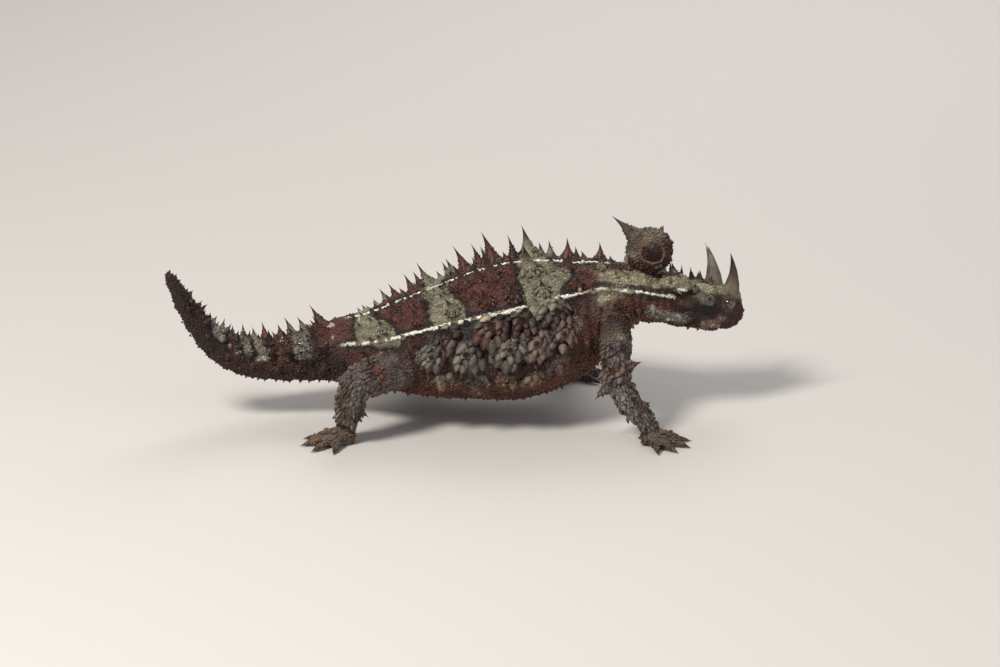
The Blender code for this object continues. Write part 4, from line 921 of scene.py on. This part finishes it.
# -------------------------------------------------------------- OFBake positions
def root_uv(found):
    """Place of a root on an unwrap of the skin: each region has its own tile."""
    region, share, angle, _ = found
    tiles = {0: (0.0, 0.0, 1.0, 0.5), 1: (0.0, 0.5, 0.5, 0.25), 2: (0.5, 0.5, 0.25, 0.25), 3: (0.0, 0.75, 0.25, 0.25), 4: (0.25, 0.75, 0.25, 0.25), 5: (0.5, 0.75, 0.25, 0.25), 6: (0.75, 0.75, 0.25, 0.25)}
    uv = np.zeros((len(share), 2))
    for r, (u0, v0, du, dv) in tiles.items():
        m = region == r
        uv[m, 0] = u0 + du * (0.02 + 0.96 * np.clip(share[m], 0, 1))
        uv[m, 1] = v0 + dv * (0.02 + 0.96 * (angle[m] / (2 * np.pi) + 0.5))
    return uv


PATCH = 0.0014

# ----------------------------------------------------------- scales by template
def granule_template():
    k = 7
    w = np.linspace(0, 2 * np.pi, k, endpoint=False)
    ring0 = np.stack([np.cos(w), np.sin(w), np.full(k, -0.35)], 1)
    ring1 = np.stack([0.80 * np.cos(w) - 0.04, 0.80 * np.sin(w), np.full(k, 0.50)], 1)
    verts = np.concatenate([ring0, ring1, [[0.22, 0, 1.0]]])
    i = np.arange(k)
    quads = np.stack([i, (i + 1) % k, k + (i + 1) % k, k + i], 1)
    tris = np.stack([k + i, k + (i + 1) % k, np.full(k, 2 * k)], 1)
    # Per-vertex brightness: the base ring is darkened as painted crevice shade and the apex is lightened as a painted
    # highlight.
    return verts, [(4, quads), (3, tris), (k, i[::-1][None])], np.array([0.55] * k + [1.0] * k + [1.25])


def leaf_template():
    """A pointed, keeled leaf lying along +x from its root at 0 to its tip at 1."""
    outline = np.array([(-0.12, -0.50), (0.25, -1.0), (0.62, -0.72), (0.86, -0.28), (1.04, 0.0), (0.86, 0.28), (0.62, 0.72), (0.25, 1.0), (-0.12, 0.50)])
    k = len(outline)
    top = np.column_stack([outline, np.full(k, 0.0)])
    under = np.column_stack([outline * (0.96, 0.85), np.full(k, -0.45)])
    keel = np.array([(0.05, 0, 0.62), (0.45, 0, 1.0), (0.80, 0, 0.62)])
    verts = np.concatenate([top, under, keel])
    i = np.arange(k)
    sides = np.stack([k + i, k + (i + 1) % k, (i + 1) % k, i], 1)
    a, b, c = 2 * k, 2 * k + 1, 2 * k + 2
    tris = [(8, 0, a), (0, 1, a), (1, b, a), (1, 2, b), (2, c, b), (2, 3, c), (3, 4, c), (4, 5, c), (5, 6, c), (6, b, c), (6, 7, b), (7, a, b), (7, 8, a)]
    # Per-vertex brightness: the root and underside are darkened as painted shade, and the keel and tip are lightened as
    # a painted highlight.
    return verts, [(4, sides), (3, np.array(tris)), (k, (k + i[::-1])[None])], np.array([0.6, 0.62, 0.75, 0.9, 1.1, 0.9, 0.75, 0.62, 0.6] + [0.4] * k + [1.0, 1.2, 1.2])


def scale_mesh(template, root, normal, lie, length, width, height, colour, uv, tilt=None):
    verts, faces, painted_shade_highlight = template
    n = len(root)
    normal = unit(normal)
    lie = unit(lie - normal * (lie * normal).sum(1)[:, None])
    if tilt is not None:
        c, s = np.cos(tilt)[:, None], np.sin(tilt)[:, None]
        lie, normal = lie * c + normal * s, normal * c - lie * s
    across = np.cross(normal, lie)
    pos = (root[:, None] + lie[:, None] * (verts[None, :, 0] * length[:, None])[..., None]
           + across[:, None] * (verts[None, :, 1] * width[:, None])[..., None]
           + normal[:, None] * (verts[None, :, 2] * height[:, None])[..., None])
    k = len(verts)
    out = [(c, (f[None] + (np.arange(n) * k)[:, None, None]).reshape(-1, c)) for c, f in faces]
    # Painted shade and highlight: each vertex's colour is scaled by the template's brightness factor.
    tone = colour[:, None] * painted_shade_highlight[None, :, None]
    spot = uv[:, None] + PATCH * np.clip(verts[None, :, :2], -1, 1)
    return pos.reshape(-1, 3), out, tone.reshape(-1, 3), spot.reshape(-1, 2)


def joined(parts):
    """Several (verts, faces, colours, uv) sets as one."""
    verts, colours, uvs, faces, at = [], [], [], {}, 0
    for v, f, c, u in parts:
        verts.append(v)
        colours.append(c)
        uvs.append(u)
        for count, index in f:
            faces.setdefault(count, []).append(index + at)
        at += len(v)
    return np.concatenate(verts), [(k, np.concatenate(f)) for k, f in faces.items()], np.concatenate(colours), np.concatenate(uvs)


def triangles(faces):
    return sum((k - 2) * len(f) for k, f in faces)


def scatter(p, tri, spacing_of, budget):
    """Evenly spread places on a triangle mesh: point, normal."""
    a, b, c = p[tri[:, 0]], p[tri[:, 1]], p[tri[:, 2]]
    cross = np.cross(b - a, c - a)
    area = np.linalg.norm(cross, axis=1) / 2
    middle = (a + b + c) / 3
    space = spacing_of(middle, unit(cross))
    weight = area / space ** 2
    weight[space > 50] = 0
    total = int(min(weight.sum() * 5.0, budget))
    pick = RNG.choice(len(tri), size=total, p=weight / weight.sum())
    s, t = RNG.random(total), RNG.random(total)
    flip = s + t > 1
    s[flip], t[flip] = 1 - s[flip], 1 - t[flip]
    q = a[pick] + (b[pick] - a[pick]) * s[:, None] + (c[pick] - a[pick]) * t[:, None]
    room = space[pick]
    cell = 0.42
    grid = {}
    keep = []
    cells = np.floor(q / cell).astype(int).tolist()
    ql = q.tolist()
    for k in range(total):
        cx, cy, cz = cells[k]
        x, y, z = ql[k]
        r = room[k]
        reach = int(r / cell) + 1
        limit = r * r
        clear = True
        for dx in range(-reach, reach + 1):
            for dy in range(-reach, reach + 1):
                for dz in range(-reach, reach + 1):
                    for o in grid.get((cx + dx, cy + dy, cz + dz), ()):
                        if (o[0] - x) ** 2 + (o[1] - y) ** 2 + (o[2] - z) ** 2 < limit:
                            clear = False
                            break
                    if not clear:
                        break
                if not clear:
                    break
            if not clear:
                break
        if clear:
            grid.setdefault((cx, cy, cz), []).append((x, y, z))
            keep.append(k)
    keep = np.array(keep)
    return q[keep], unit(cross)[pick][keep], room[keep]


# ----------------------------------------------------------------- build it all
COATS = []


def coat_piece(name, parts, material):
    verts, faces, colours, uv = joined(parts)
    verts[:, 2] = np.maximum(verts[:, 2], 0.0)
    print(name, triangles(faces))
    obj = mesh_from(name, verts, faces, colours, uv, True, material)
    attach(obj, "root")
    COATS.append(obj)
    return obj


def spine_piece_parts(spines, great_sides=14, great_rings=13):
    parts = []
    for kind, sides, rings in (("great", great_sides, great_rings), ("lesser", 9, 7)):
        chosen = [s for s in spines if s[5] == kind]
        if not chosen:
            continue
        verts, faces, info = spine_mesh(chosen, sides, rings)
        colours = spine_colours(verts, info)
        T, W, tone, found, count, rings, sides = info
        local = np.stack([np.cos(W) * (1 - T), np.sin(W) * (1 - T)], -1).reshape(1, -1, 2)
        uv = (root_uv(found)[:, None] + PATCH * local).reshape(-1, 2)
        parts.append((verts, faces, colours, uv))
    return parts


def petals(spines):
    """Pointed leaves round the foot of each large spine; on the flanks, plates that overlap downwards like shingles."""
    roots, normals, lies, lengths, widths, heights, tilts = [], [], [], [], [], [], []

    def leaf(root, normal, lie, length, width, height, tilt):
        roots.append(root)
        normals.append(normal)
        lies.append(lie)
        lengths.append(length)
        widths.append(width)
        heights.append(height)
        tilts.append(tilt)

    for root, axis, bend, height, radius, kind in spines:
        if kind != "great" or radius < 1.3:
            continue
        down = unit(np.array((-0.35, 0.0, -1.0)) - axis * float(np.dot((-0.35, 0.0, -1.0), axis)))
        along = np.cross(down, axis)
        if abs(axis[1]) > 0.70 and root[0] > -30:
            wide = radius * 1.45
            for row in range(5):
                v = 0.75 - 0.42 * row
                for k in range(4 - (row == 0) - (row == 4)):
                    u = (k - (1.5 - 0.5 * (row in (0, 4))) + 0.5 * (row % 2)) * 0.54 + RNG.uniform(-0.14, 0.14)
                    r2 = u * u + v * v
                    if r2 > 1.15 or RNG.random() < 0.08:
                        continue
                    size = RNG.uniform(0.75, 1.25)
                    at = root + (down * v + along * u) * wide + axis * (radius * 0.42 * (1 - r2) - 0.15)
                    leaf(at, axis + (down * v + along * u) * 0.55, down + along * (u * 0.5 + RNG.uniform(-0.3, 0.3)) + axis * 0.1,
                         radius * 1.0 * size, radius * 0.50 * size, radius * 0.10, RNG.uniform(-0.05, 0.22))
            continue
        side = unit(np.cross(axis, bend + np.array((1e-4, 2e-4, 3e-4))))
        other = np.cross(side, axis)
        count = 9 if radius > 2.2 else 7
        for ring, (reach, lift, size) in enumerate(((1.04, -0.06, 0.8), (0.74, 0.28, 0.6))):
            for k in range(count - ring * 2):
                w = 2 * math.pi * (k + 0.5 * ring + RNG.uniform(-0.2, 0.2)) / (count - ring * 2)
                out = side * math.cos(w) + other * math.sin(w)
                size_now = size * RNG.uniform(0.6, 1.2)
                leaf(root + out * radius * reach * 0.95 + axis * (radius * lift - 0.15), out * 0.72 + axis * 0.69, axis * 0.72 - out * 0.69,
                     radius * 0.6 * size_now, radius * 0.32 * size_now, radius * 0.12, RNG.uniform(-0.1, 0.2))
    roots = np.array(roots)
    found = classify(roots)
    tones = markings(roots, found)
    tones = np.minimum(tones, CREAM * 0.8)
    pick = RNG.random(len(roots))
    tones = over(tones, GREY, (pick > 0.85) * 0.25)
    tones = over(tones, UMBER, (pick < 0.35) * 0.5)
    tones = over(tones, OLIVE * 0.7, (np.abs(pick - 0.5) < 0.08) * 0.4)
    tones = tones * RNG.uniform(0.72, 1.08, len(roots))[:, None]
    return scale_mesh(leaf_template(), roots, np.array(normals), np.array(lies), np.array(lengths), np.array(widths), np.array(heights), tones, root_uv(found), np.array(tilts))


def fold_rings(spines):
    """Raised rings of hide round the foot of each great spine of the knob."""
    parts = []
    for root, axis, bend, height, radius, kind in spines:
        if radius < 2.0 or axis[1] > 0:
            continue
        side = unit(np.cross(axis, bend + np.array((1e-4, 2e-4, 3e-4))))
        other = np.cross(side, axis)
        for reach, thick, low in ((1.18, 0.24, -0.10),):
            w = np.linspace(0, 2 * np.pi, 44, endpoint=False)
            v = np.linspace(0, 2 * np.pi, 8, endpoint=False)
            W, V = np.meshgrid(w, v, indexing="ij")
            far = radius * reach * (1 + 0.06 * np.sin(W * 3 + 1.3 + reach * 4) + 0.03 * np.sin(W * 8))
            below = -(side[2] * np.cos(W) + other[2] * np.sin(W))
            fat = thick * (1 + 0.28 * np.sin(W * 11 + reach * 9) + 0.18 * np.sin(W * 17)) * (0.1 + 0.9 * step(-0.3, 0.4, below))
            pos = (root + (side * np.cos(W)[..., None] + other * np.sin(W)[..., None]) * (far + fat * np.cos(V))[..., None]
                   + axis * (low + fat * np.sin(V))[..., None])
            i, j = np.meshgrid(np.arange(44), np.arange(8), indexing="ij")
            quads = np.stack([i * 8 + j, (i + 1) % 44 * 8 + j, (i + 1) % 44 * 8 + (j + 1) % 8, i * 8 + (j + 1) % 8], -1).reshape(-1, 4)
            pos = pos.reshape(-1, 3)
            spot = root_uv(classify(root[None]))[0]
            local = np.stack([np.cos(W), np.sin(W)], -1).reshape(-1, 2)
            parts.append((pos, [(4, quads)], np.tile(rgb(96, 74, 64), (len(pos), 1)) * (1 + 0.3 * noise(pos, 0.9, 49))[:, None], spot + PATCH * local))
    return joined(parts)


def build():
    mesh = build_skin()
    p, found = shape_skin(mesh)
    colours = markings(p, found)
    attr = mesh.color_attributes.new("tint", "FLOAT_COLOR", "POINT")
    data = np.ones((len(p), 4), np.float32)
    data[:, :3] = np.clip(colours * 0.8, 0, 1)
    attr.data.foreach_set("color", data.ravel())
    mesh.calc_loop_triangles()
    tri = np.empty(len(mesh.loop_triangles) * 3, np.int32)
    mesh.loop_triangles.foreach_get("vertices", tri)
    tri = tri.reshape(-1, 3)
    print("skin triangles", len(tri))
    mesh.transform(Matrix.Scale(MM, 4) @ Matrix.Translation(Vector(-ORIGIN)))
    mesh.polygons.foreach_set("use_smooth", np.ones(len(mesh.polygons), bool))
    skin = bpy.data.objects.new("skin", mesh)
    bpy.context.scene.collection.objects.link(skin)
    hide = skin_material("hide", 0.62, 2600.0, 0.4)
    mesh.materials.clear()
    mesh.materials.append(hide)
    flesh = [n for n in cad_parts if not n.startswith(("horn_", "eye_", "claw_"))]
    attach(skin, "root")
    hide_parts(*flesh)

    plan_spines()
    scale = skin_material("scale", 0.6, 3400.0, 0.3, 0.25)
    thorn = skin_material("thorn", 0.52, 3000.0, 0.3, 0.25, 0.4)
    for group, name, slot in (("trunk", "spines_trunk", "trunk_skin"), ("head", "spines_head", "head_skin"), ("knob", "spines_knob", "head_skin"), ("leg", "spines_leg", "limb_skin")):
        parts = spine_piece_parts(SPINES[group], 16 if group in ("head", "knob") else 12, 14 if group in ("head", "knob") else 11)
        if group == "knob":
            parts.append(fold_rings(SPINES[group]))
        elif group != "head":
            parts.append(petals(SPINES[group]))
        coat_piece(name, parts, thorn)

    # Granules over the skin and up the lower part of each large spine.
    great = [s for g in SPINES.values() for s in g if s[5] == "great"]
    gv, gf, info = spine_mesh(great, 10, 9)
    T = info[0]
    t = np.broadcast_to(T[None], (len(great),) + T.shape).reshape(-1)
    quads = gf[0][1]
    quads = quads[(t[quads].max(1) < 0.62) & (t[quads].min(1) > 0.04)]
    cone = np.concatenate([quads[:, [0, 1, 2]], quads[:, [0, 2, 3]]])
    roots = np.array([s[0] for g in SPINES.values() for s in g])
    reach = np.array([s[4] for g in SPINES.values() for s in g])

    def spacing(middle, normal):
        region, share, angle, _ = classify(middle)
        a = np.degrees(np.abs(angle))
        s = np.full(len(middle), 0.78)
        s[region == 0] = np.where(a[region == 0] > 110, 0.98, 0.80)
        s[(region == 0) & (middle[:, 0] < -34)] = 0.72
        s[region == 1] = 0.60
        s[region == 2] = 0.72
        s[region >= 3] = 0.80
        s[(region >= 3) & (share > 0.78)] = 0.62
        s[(middle[:, 2] < 0.55) & (normal[:, 2] < -0.4)] = 99.0
        for side in (-1, 1):
            centre = head_place((EYE_AT[0], EYE_AT[1] * side, EYE_AT[2]))
            r = np.linalg.norm(middle - centre, axis=1)
            s[r < EYE_RADIUS + 0.15] = 99.0
            s[(r >= EYE_RADIUS + 0.15) & (r < EYE_RADIUS + 1.2)] = 0.42
        return s

    q, nrm, room = scatter(p, tri, spacing, 260000)
    near = np.zeros(len(q), bool)
    for k in range(0, len(q), 8000):
        d = np.linalg.norm(q[k:k + 8000, None] - roots[None], axis=2)
        near[k:k + 8000] = (d < reach[None] * 0.72).any(1)
    # Dark ring round the foot of each large spine.
    stout = np.array([s for s in range(len(reach)) if reach[s] > 1.5])
    close = np.full(len(q), 9.0)
    for k in range(0, len(q), 8000):
        close[k:k + 8000] = (np.linalg.norm(q[k:k + 8000, None] - roots[None, stout], axis=2) / reach[None, stout]).min(1)
    q, nrm, room, close = q[~near], nrm[~near], room[~near], close[~near]
    cone_normal = np.cross(gv[cone[:, 1]] - gv[cone[:, 0]], gv[cone[:, 2]] - gv[cone[:, 0]])
    owner = cone[:, 0] // (info[5] * info[6])
    outward = gv[cone].mean(1) - np.array([s[0] for s in great])[owner]
    axis_of = np.array([s[1] for s in great])[owner]
    outward = outward - axis_of * (outward * axis_of).sum(1)[:, None]
    wrong = (cone_normal * outward).sum(1) < 0
    cone[wrong] = cone[wrong][:, [0, 2, 1]]
    q2, nrm2, room2 = scatter(gv, cone, lambda m, n: np.full(len(m), 0.62), 60000)
    inner = np.zeros(len(q2), bool)
    q_all = np.concatenate([q, q2])
    nrm_all = np.concatenate([nrm, nrm2])
    room_all = np.concatenate([room, room2 * 0.9])
    info_all = classify(q_all)
    region, share, angle, lie = info_all
    tone = markings(q_all, info_all)
    count = len(q_all)
    print("granules", count, len(q2))
    tone = tone * RNG.uniform(0.78, 1.3, count)[:, None]
    ringed = np.concatenate([1 - step(1.05, 1.3, close), np.zeros(len(q2))]) * (region == 0) * (tone.sum(1) < 0.55)
    tone = tone * (1 - 0.6 * ringed)[:, None]
    big = RNG.random(count) ** 3
    width = room_all * 0.5 * (0.92 + 0.28 * big)
    length = width * RNG.uniform(1.0, 1.3, count)
    height = width * RNG.uniform(0.55, 1.0, count) * (1 + 0.5 * big)
    stripe = tone.sum(1) > 1.6
    height[stripe] *= 0.5
    bright = (tone.sum(1) > 1.2)[:, None]
    tone = np.where(bright, np.minimum(tone, WHITE * 1.02), tone)
    lower = (region >= 3) & (share > 0.40) & (share < 0.90) & (q_all[:, 2] > 0.5)
    width[(region >= 3) & (share > 0.86)] *= 0.9
    tilts = RNG.uniform(-0.05, 0.22, count)
    uv = root_uv(info_all)
    granule, leaf = granule_template(), leaf_template()

    def pieces(mask, name, template=granule, stretch=(1, 1, 1), tip=0.0, limit=190000):
        index = np.nonzero(mask)[0]
        if not len(index):
            return
        per = triangles(template[1])
        chunks = max(1, math.ceil(len(index) * per / limit))
        order = index[np.argsort(q_all[index, 0], kind="stable")]
        for k, part in enumerate(np.array_split(order, chunks)):
            made = scale_mesh(template, q_all[part], nrm_all[part], lie[part], length[part] * stretch[0], width[part] * stretch[1], height[part] * stretch[2], tone[part], uv[part], tilts[part] + tip)
            coat_piece(name if chunks == 1 else f"{name}_{k + 1}", [made], scale)

    body = (region == 0) & (q_all[:, 0] > -33)
    pieces(body, "granules_trunk")
    pieces((region == 0) & ~body, "granules_tail")
    pieces(region == 1, "granules_head")
    pieces(region == 2, "granules_knob", granule, (1.1, 1.0, 1.5))
    keeled = lower & (RNG.random(count) < 0.55)
    pieces((region >= 3) & ~keeled, "granules_leg")
    pieces(keeled, "keels_leg", leaf, (3.6, 1.35, 1.5), 0.20)
    return skin


def build_eyes():
    """Each eye: a clear wet ball with a dark pupil and a brown iris."""
    for side, name in ((-1, "right"), (1, "left")):
        centre = head_place((EYE_AT[0], EYE_AT[1] * side, EYE_AT[2]))
        gaze = head_dir((0.18, side, 0.12))
        bm = bmesh.new()
        bmesh.ops.create_uvsphere(bm, u_segments=48, v_segments=32, radius=EYE_RADIUS)
        v = np.array([q.co for q in bm.verts])
        faces = [[q.index for q in f.verts] for f in bm.faces]
        bm.free()
        turn = np.array(Vector(gaze).to_track_quat("Z", "Y").to_matrix())
        d = np.degrees(np.arccos(np.clip(v[:, 2] / EYE_RADIUS, -1, 1)))
        v = v * (1 + 0.05 * np.exp(-(d / 26) ** 2))[:, None]
        c = np.tile(rgb(40, 26, 20), (len(v), 1))
        c = over(c, rgb(74, 50, 32), band(d, 24, 40, 1.5) * (0.7 + 0.3 * np.sin(np.arctan2(v[:, 1], v[:, 0]) * 19)))
        c = over(c, rgb(6, 5, 5), 1 - step(22, 25, d))
        world = v @ turn.T + centre
        tris = np.array([f for f in faces if len(f) == 3])
        quads = np.array([f for f in faces if len(f) == 4])
        mat = skin_material("eye_gloss_" + name, 0.14, 5200.0, 0.02, 0.12, 0.6)
        mat.node_tree.nodes["Principled BSDF"].inputs["Coat Weight"].default_value = 1.0
        mat.node_tree.nodes["Principled BSDF"].inputs["Coat Roughness"].default_value = 0.04
        obj = mesh_from("eyeball_" + name, world, [(3, tris), (4, quads)], c, None, True, mat)
        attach(obj, "root")
        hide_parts("eye_" + name)


def build_horns():
    for side, name in ((-1, "right"), (1, "left")):
        root = head_place((HORN_ROOT[0], HORN_ROOT[1] * side, HORN_ROOT[2]))
        tip = head_place((HORN_TIP[0], HORN_TIP[1] * side, HORN_TIP[2]))
        if side > 0:
            tip = tip + (-0.9, 0.0, 1.4)
        bend = head_dir((-1, 0, 0)) * 0.5
        axis = tip - root - bend * np.linalg.norm(tip - root)
        tall = float(np.linalg.norm(axis))
        SPINES.setdefault("horn_" + name, [(root, unit(axis), bend, tall - HORN_RADIUS * 0.1, HORN_RADIUS * 1.08, "great")])
        verts, faces, info = spine_mesh(SPINES["horn_" + name], 28, 26)
        T = info[0].reshape(-1)
        # Fuller than a body spine: a stout curved cone on a broad foot.
        line = info[0][:, :1]
        middle = verts.reshape(info[0].shape + (3,)).mean(1, keepdims=True)
        now = np.linalg.norm(verts.reshape(info[0].shape + (3,)) - middle, axis=2, keepdims=True).mean(1, keepdims=True)
        want = (HORN_RADIUS * 1.05 * (1 - line) ** 0.95 * (0.5 + 0.5 * step(0.0, 0.24, line)) + 0.03)[..., None]
        verts = (middle + (verts.reshape(info[0].shape + (3,)) - middle) * want / now).reshape(-1, 3)
        verts = verts + (noise(verts, 1.3, 71) * 0.10 * (1 - T) ** 1.2)[:, None] * unit(verts - root)
        # Painted light and shade by side: the near (right) horn is darkened as painted shade, and the far (left) horn
        # is greyer with a whitish tip as painted light.
        c = over(np.tile(rgb(104, 92, 74), (len(verts), 1)), GREY * 0.9, step(0.2, 0.5, T) * (0.85 if side > 0 else 0.1))
        c = over(c, UMBER, step(0.0, 0.6, noise(verts, 0.9, 72)) * 0.55)
        if side < 0:
            c = over(c, rgb(62, 40, 32), step(0.25, 0.6, T) * 0.9)
            c = over(c, THORN, step(0.6, 0.85, T))
        else:
            c = over(c, rgb(110, 70, 52), step(0.72, 0.78, T) * 0.7)
            c = over(c, WHITE * 0.85, step(0.84, 0.9, T))
        mat = skin_material("horn_" + name + "_keratin", 0.46, 2600.0, 0.45, 0.25, 0.45)
        obj = mesh_from("horn_fine_" + name, verts, faces, c, None, True, mat)
        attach(obj, "root")
        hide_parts("horn_" + name)


def build_claws():
    mat = skin_material("claw_keratin", 0.34, 2200.0, 0.15, 0.3, 0.5)
    for leg in LEGS:
        kind, heading, palm, middle, toes = feet_plan(leg)
        hand = leg.split("_")[1]
        for k, (start, end, way) in enumerate(toes, 1):
            tip_way = unit(way + np.array((0, 0, -0.12)))
            base = end + tip_way * (TOE_RADIUS * 0.45)
            spine = (base + (0, 0, 0.02), tip_way, np.array((0, 0, -0.1)), CLAW_LENGTH, CLAW_RADIUS, "great")
            verts, faces, info = spine_mesh([spine], 14, 12)
            T = info[0].reshape(-1)
            # Fuller than a spine: a hook that keeps its width to the last third.
            mid = base + tip_way * ((verts - base) @ tip_way)[:, None]
            verts = mid + (verts - mid) * (1 + 0.55 * np.sin(np.pi * np.clip(T, 0, 1)))[:, None]
            verts[:, 2] = np.maximum(verts[:, 2], 0.02)
            c = over(np.tile(rgb(70, 46, 34), (len(verts), 1)), THORN, step(0.25, 0.7, T))
            obj = mesh_from(f"nail_{kind}_{hand}_{k}", verts, faces, c, None, True, mat)
            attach(obj, "root")
            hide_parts(f"claw_{kind}_{hand}_{k}")


def plain_material(name, colour, rough):
    mat = bpy.data.materials.new(name)
    mat.use_nodes = True
    shader = mat.node_tree.nodes["Principled BSDF"]
    shader.inputs["Base Color"].default_value = (*colour, 1)
    shader.inputs["Roughness"].default_value = rough
    return mat


def area_light(name, at, aim, size, power, colour):
    data = bpy.data.lights.new(name, "AREA")
    data.shape = "DISK"
    data.size = size
    data.energy = power
    data.color = colour
    obj = bpy.data.objects.new(name, data)
    bpy.context.scene.collection.objects.link(obj)
    obj.location = at
    obj.rotation_mode = "QUATERNION"
    obj.rotation_quaternion = (Vector(aim) - Vector(at)).to_track_quat("-Z", "Y")


def build_stage():
    size = 6.0
    mesh = bpy.data.meshes.new("floor")
    mesh.from_pydata([(-size, -size, 0), (size, -size, 0), (size, size, 0), (-size, size, 0)], [], [(0, 1, 2, 3)])
    floor = bpy.data.objects.new("floor", mesh)
    bpy.context.scene.collection.objects.link(floor)
    mesh.materials.append(plain_material("floor_pale", (0.60, 0.57, 0.54), 0.9))
    aim = (0.0, 0.0, 0.02)
    area_light("key", (-0.34, -0.42, 0.62), aim, 0.22, 6.4, (1.0, 0.965, 0.91))
    area_light("fill", (0.55, -0.45, 0.30), aim, 0.6, 1.3, (0.92, 0.95, 1.0))
    area_light("rim", (0.15, 0.55, 0.5), aim, 0.5, 2.2, (1.0, 0.98, 0.95))
    world = bpy.data.worlds.new("studio")
    bpy.context.scene.world = world
    world.use_nodes = True
    world.node_tree.nodes["Background"].inputs["Color"].default_value = (0.86, 0.87, 0.9, 1)
    world.node_tree.nodes["Background"].inputs["Strength"].default_value = 0.34
    centre = Vector((0.011543, -0.001675, 0.02187))
    rise = math.radians(18.0)
    distance = 1.2
    cam_data = bpy.data.cameras.new("camera")
    cam_data.sensor_width = 36.0
    cam_data.lens = 36.0 * distance / 0.265
    cam_data.clip_start, cam_data.clip_end = 0.05, 30.0
    cam = bpy.data.objects.new("camera", cam_data)
    bpy.context.scene.collection.objects.link(cam)
    back = Vector((0.0, -math.cos(rise), math.sin(rise)))
    cam.location = centre + back * distance
    cam.rotation_mode = "QUATERNION"
    cam.rotation_quaternion = (-back).to_track_quat("-Z", "Y")
    bpy.context.scene.camera = cam
    bpy.context.scene.view_settings.view_transform = "Standard"


build()
build_eyes()
build_horns()
build_claws()
build_stage()
bpy.context.view_layer.update()
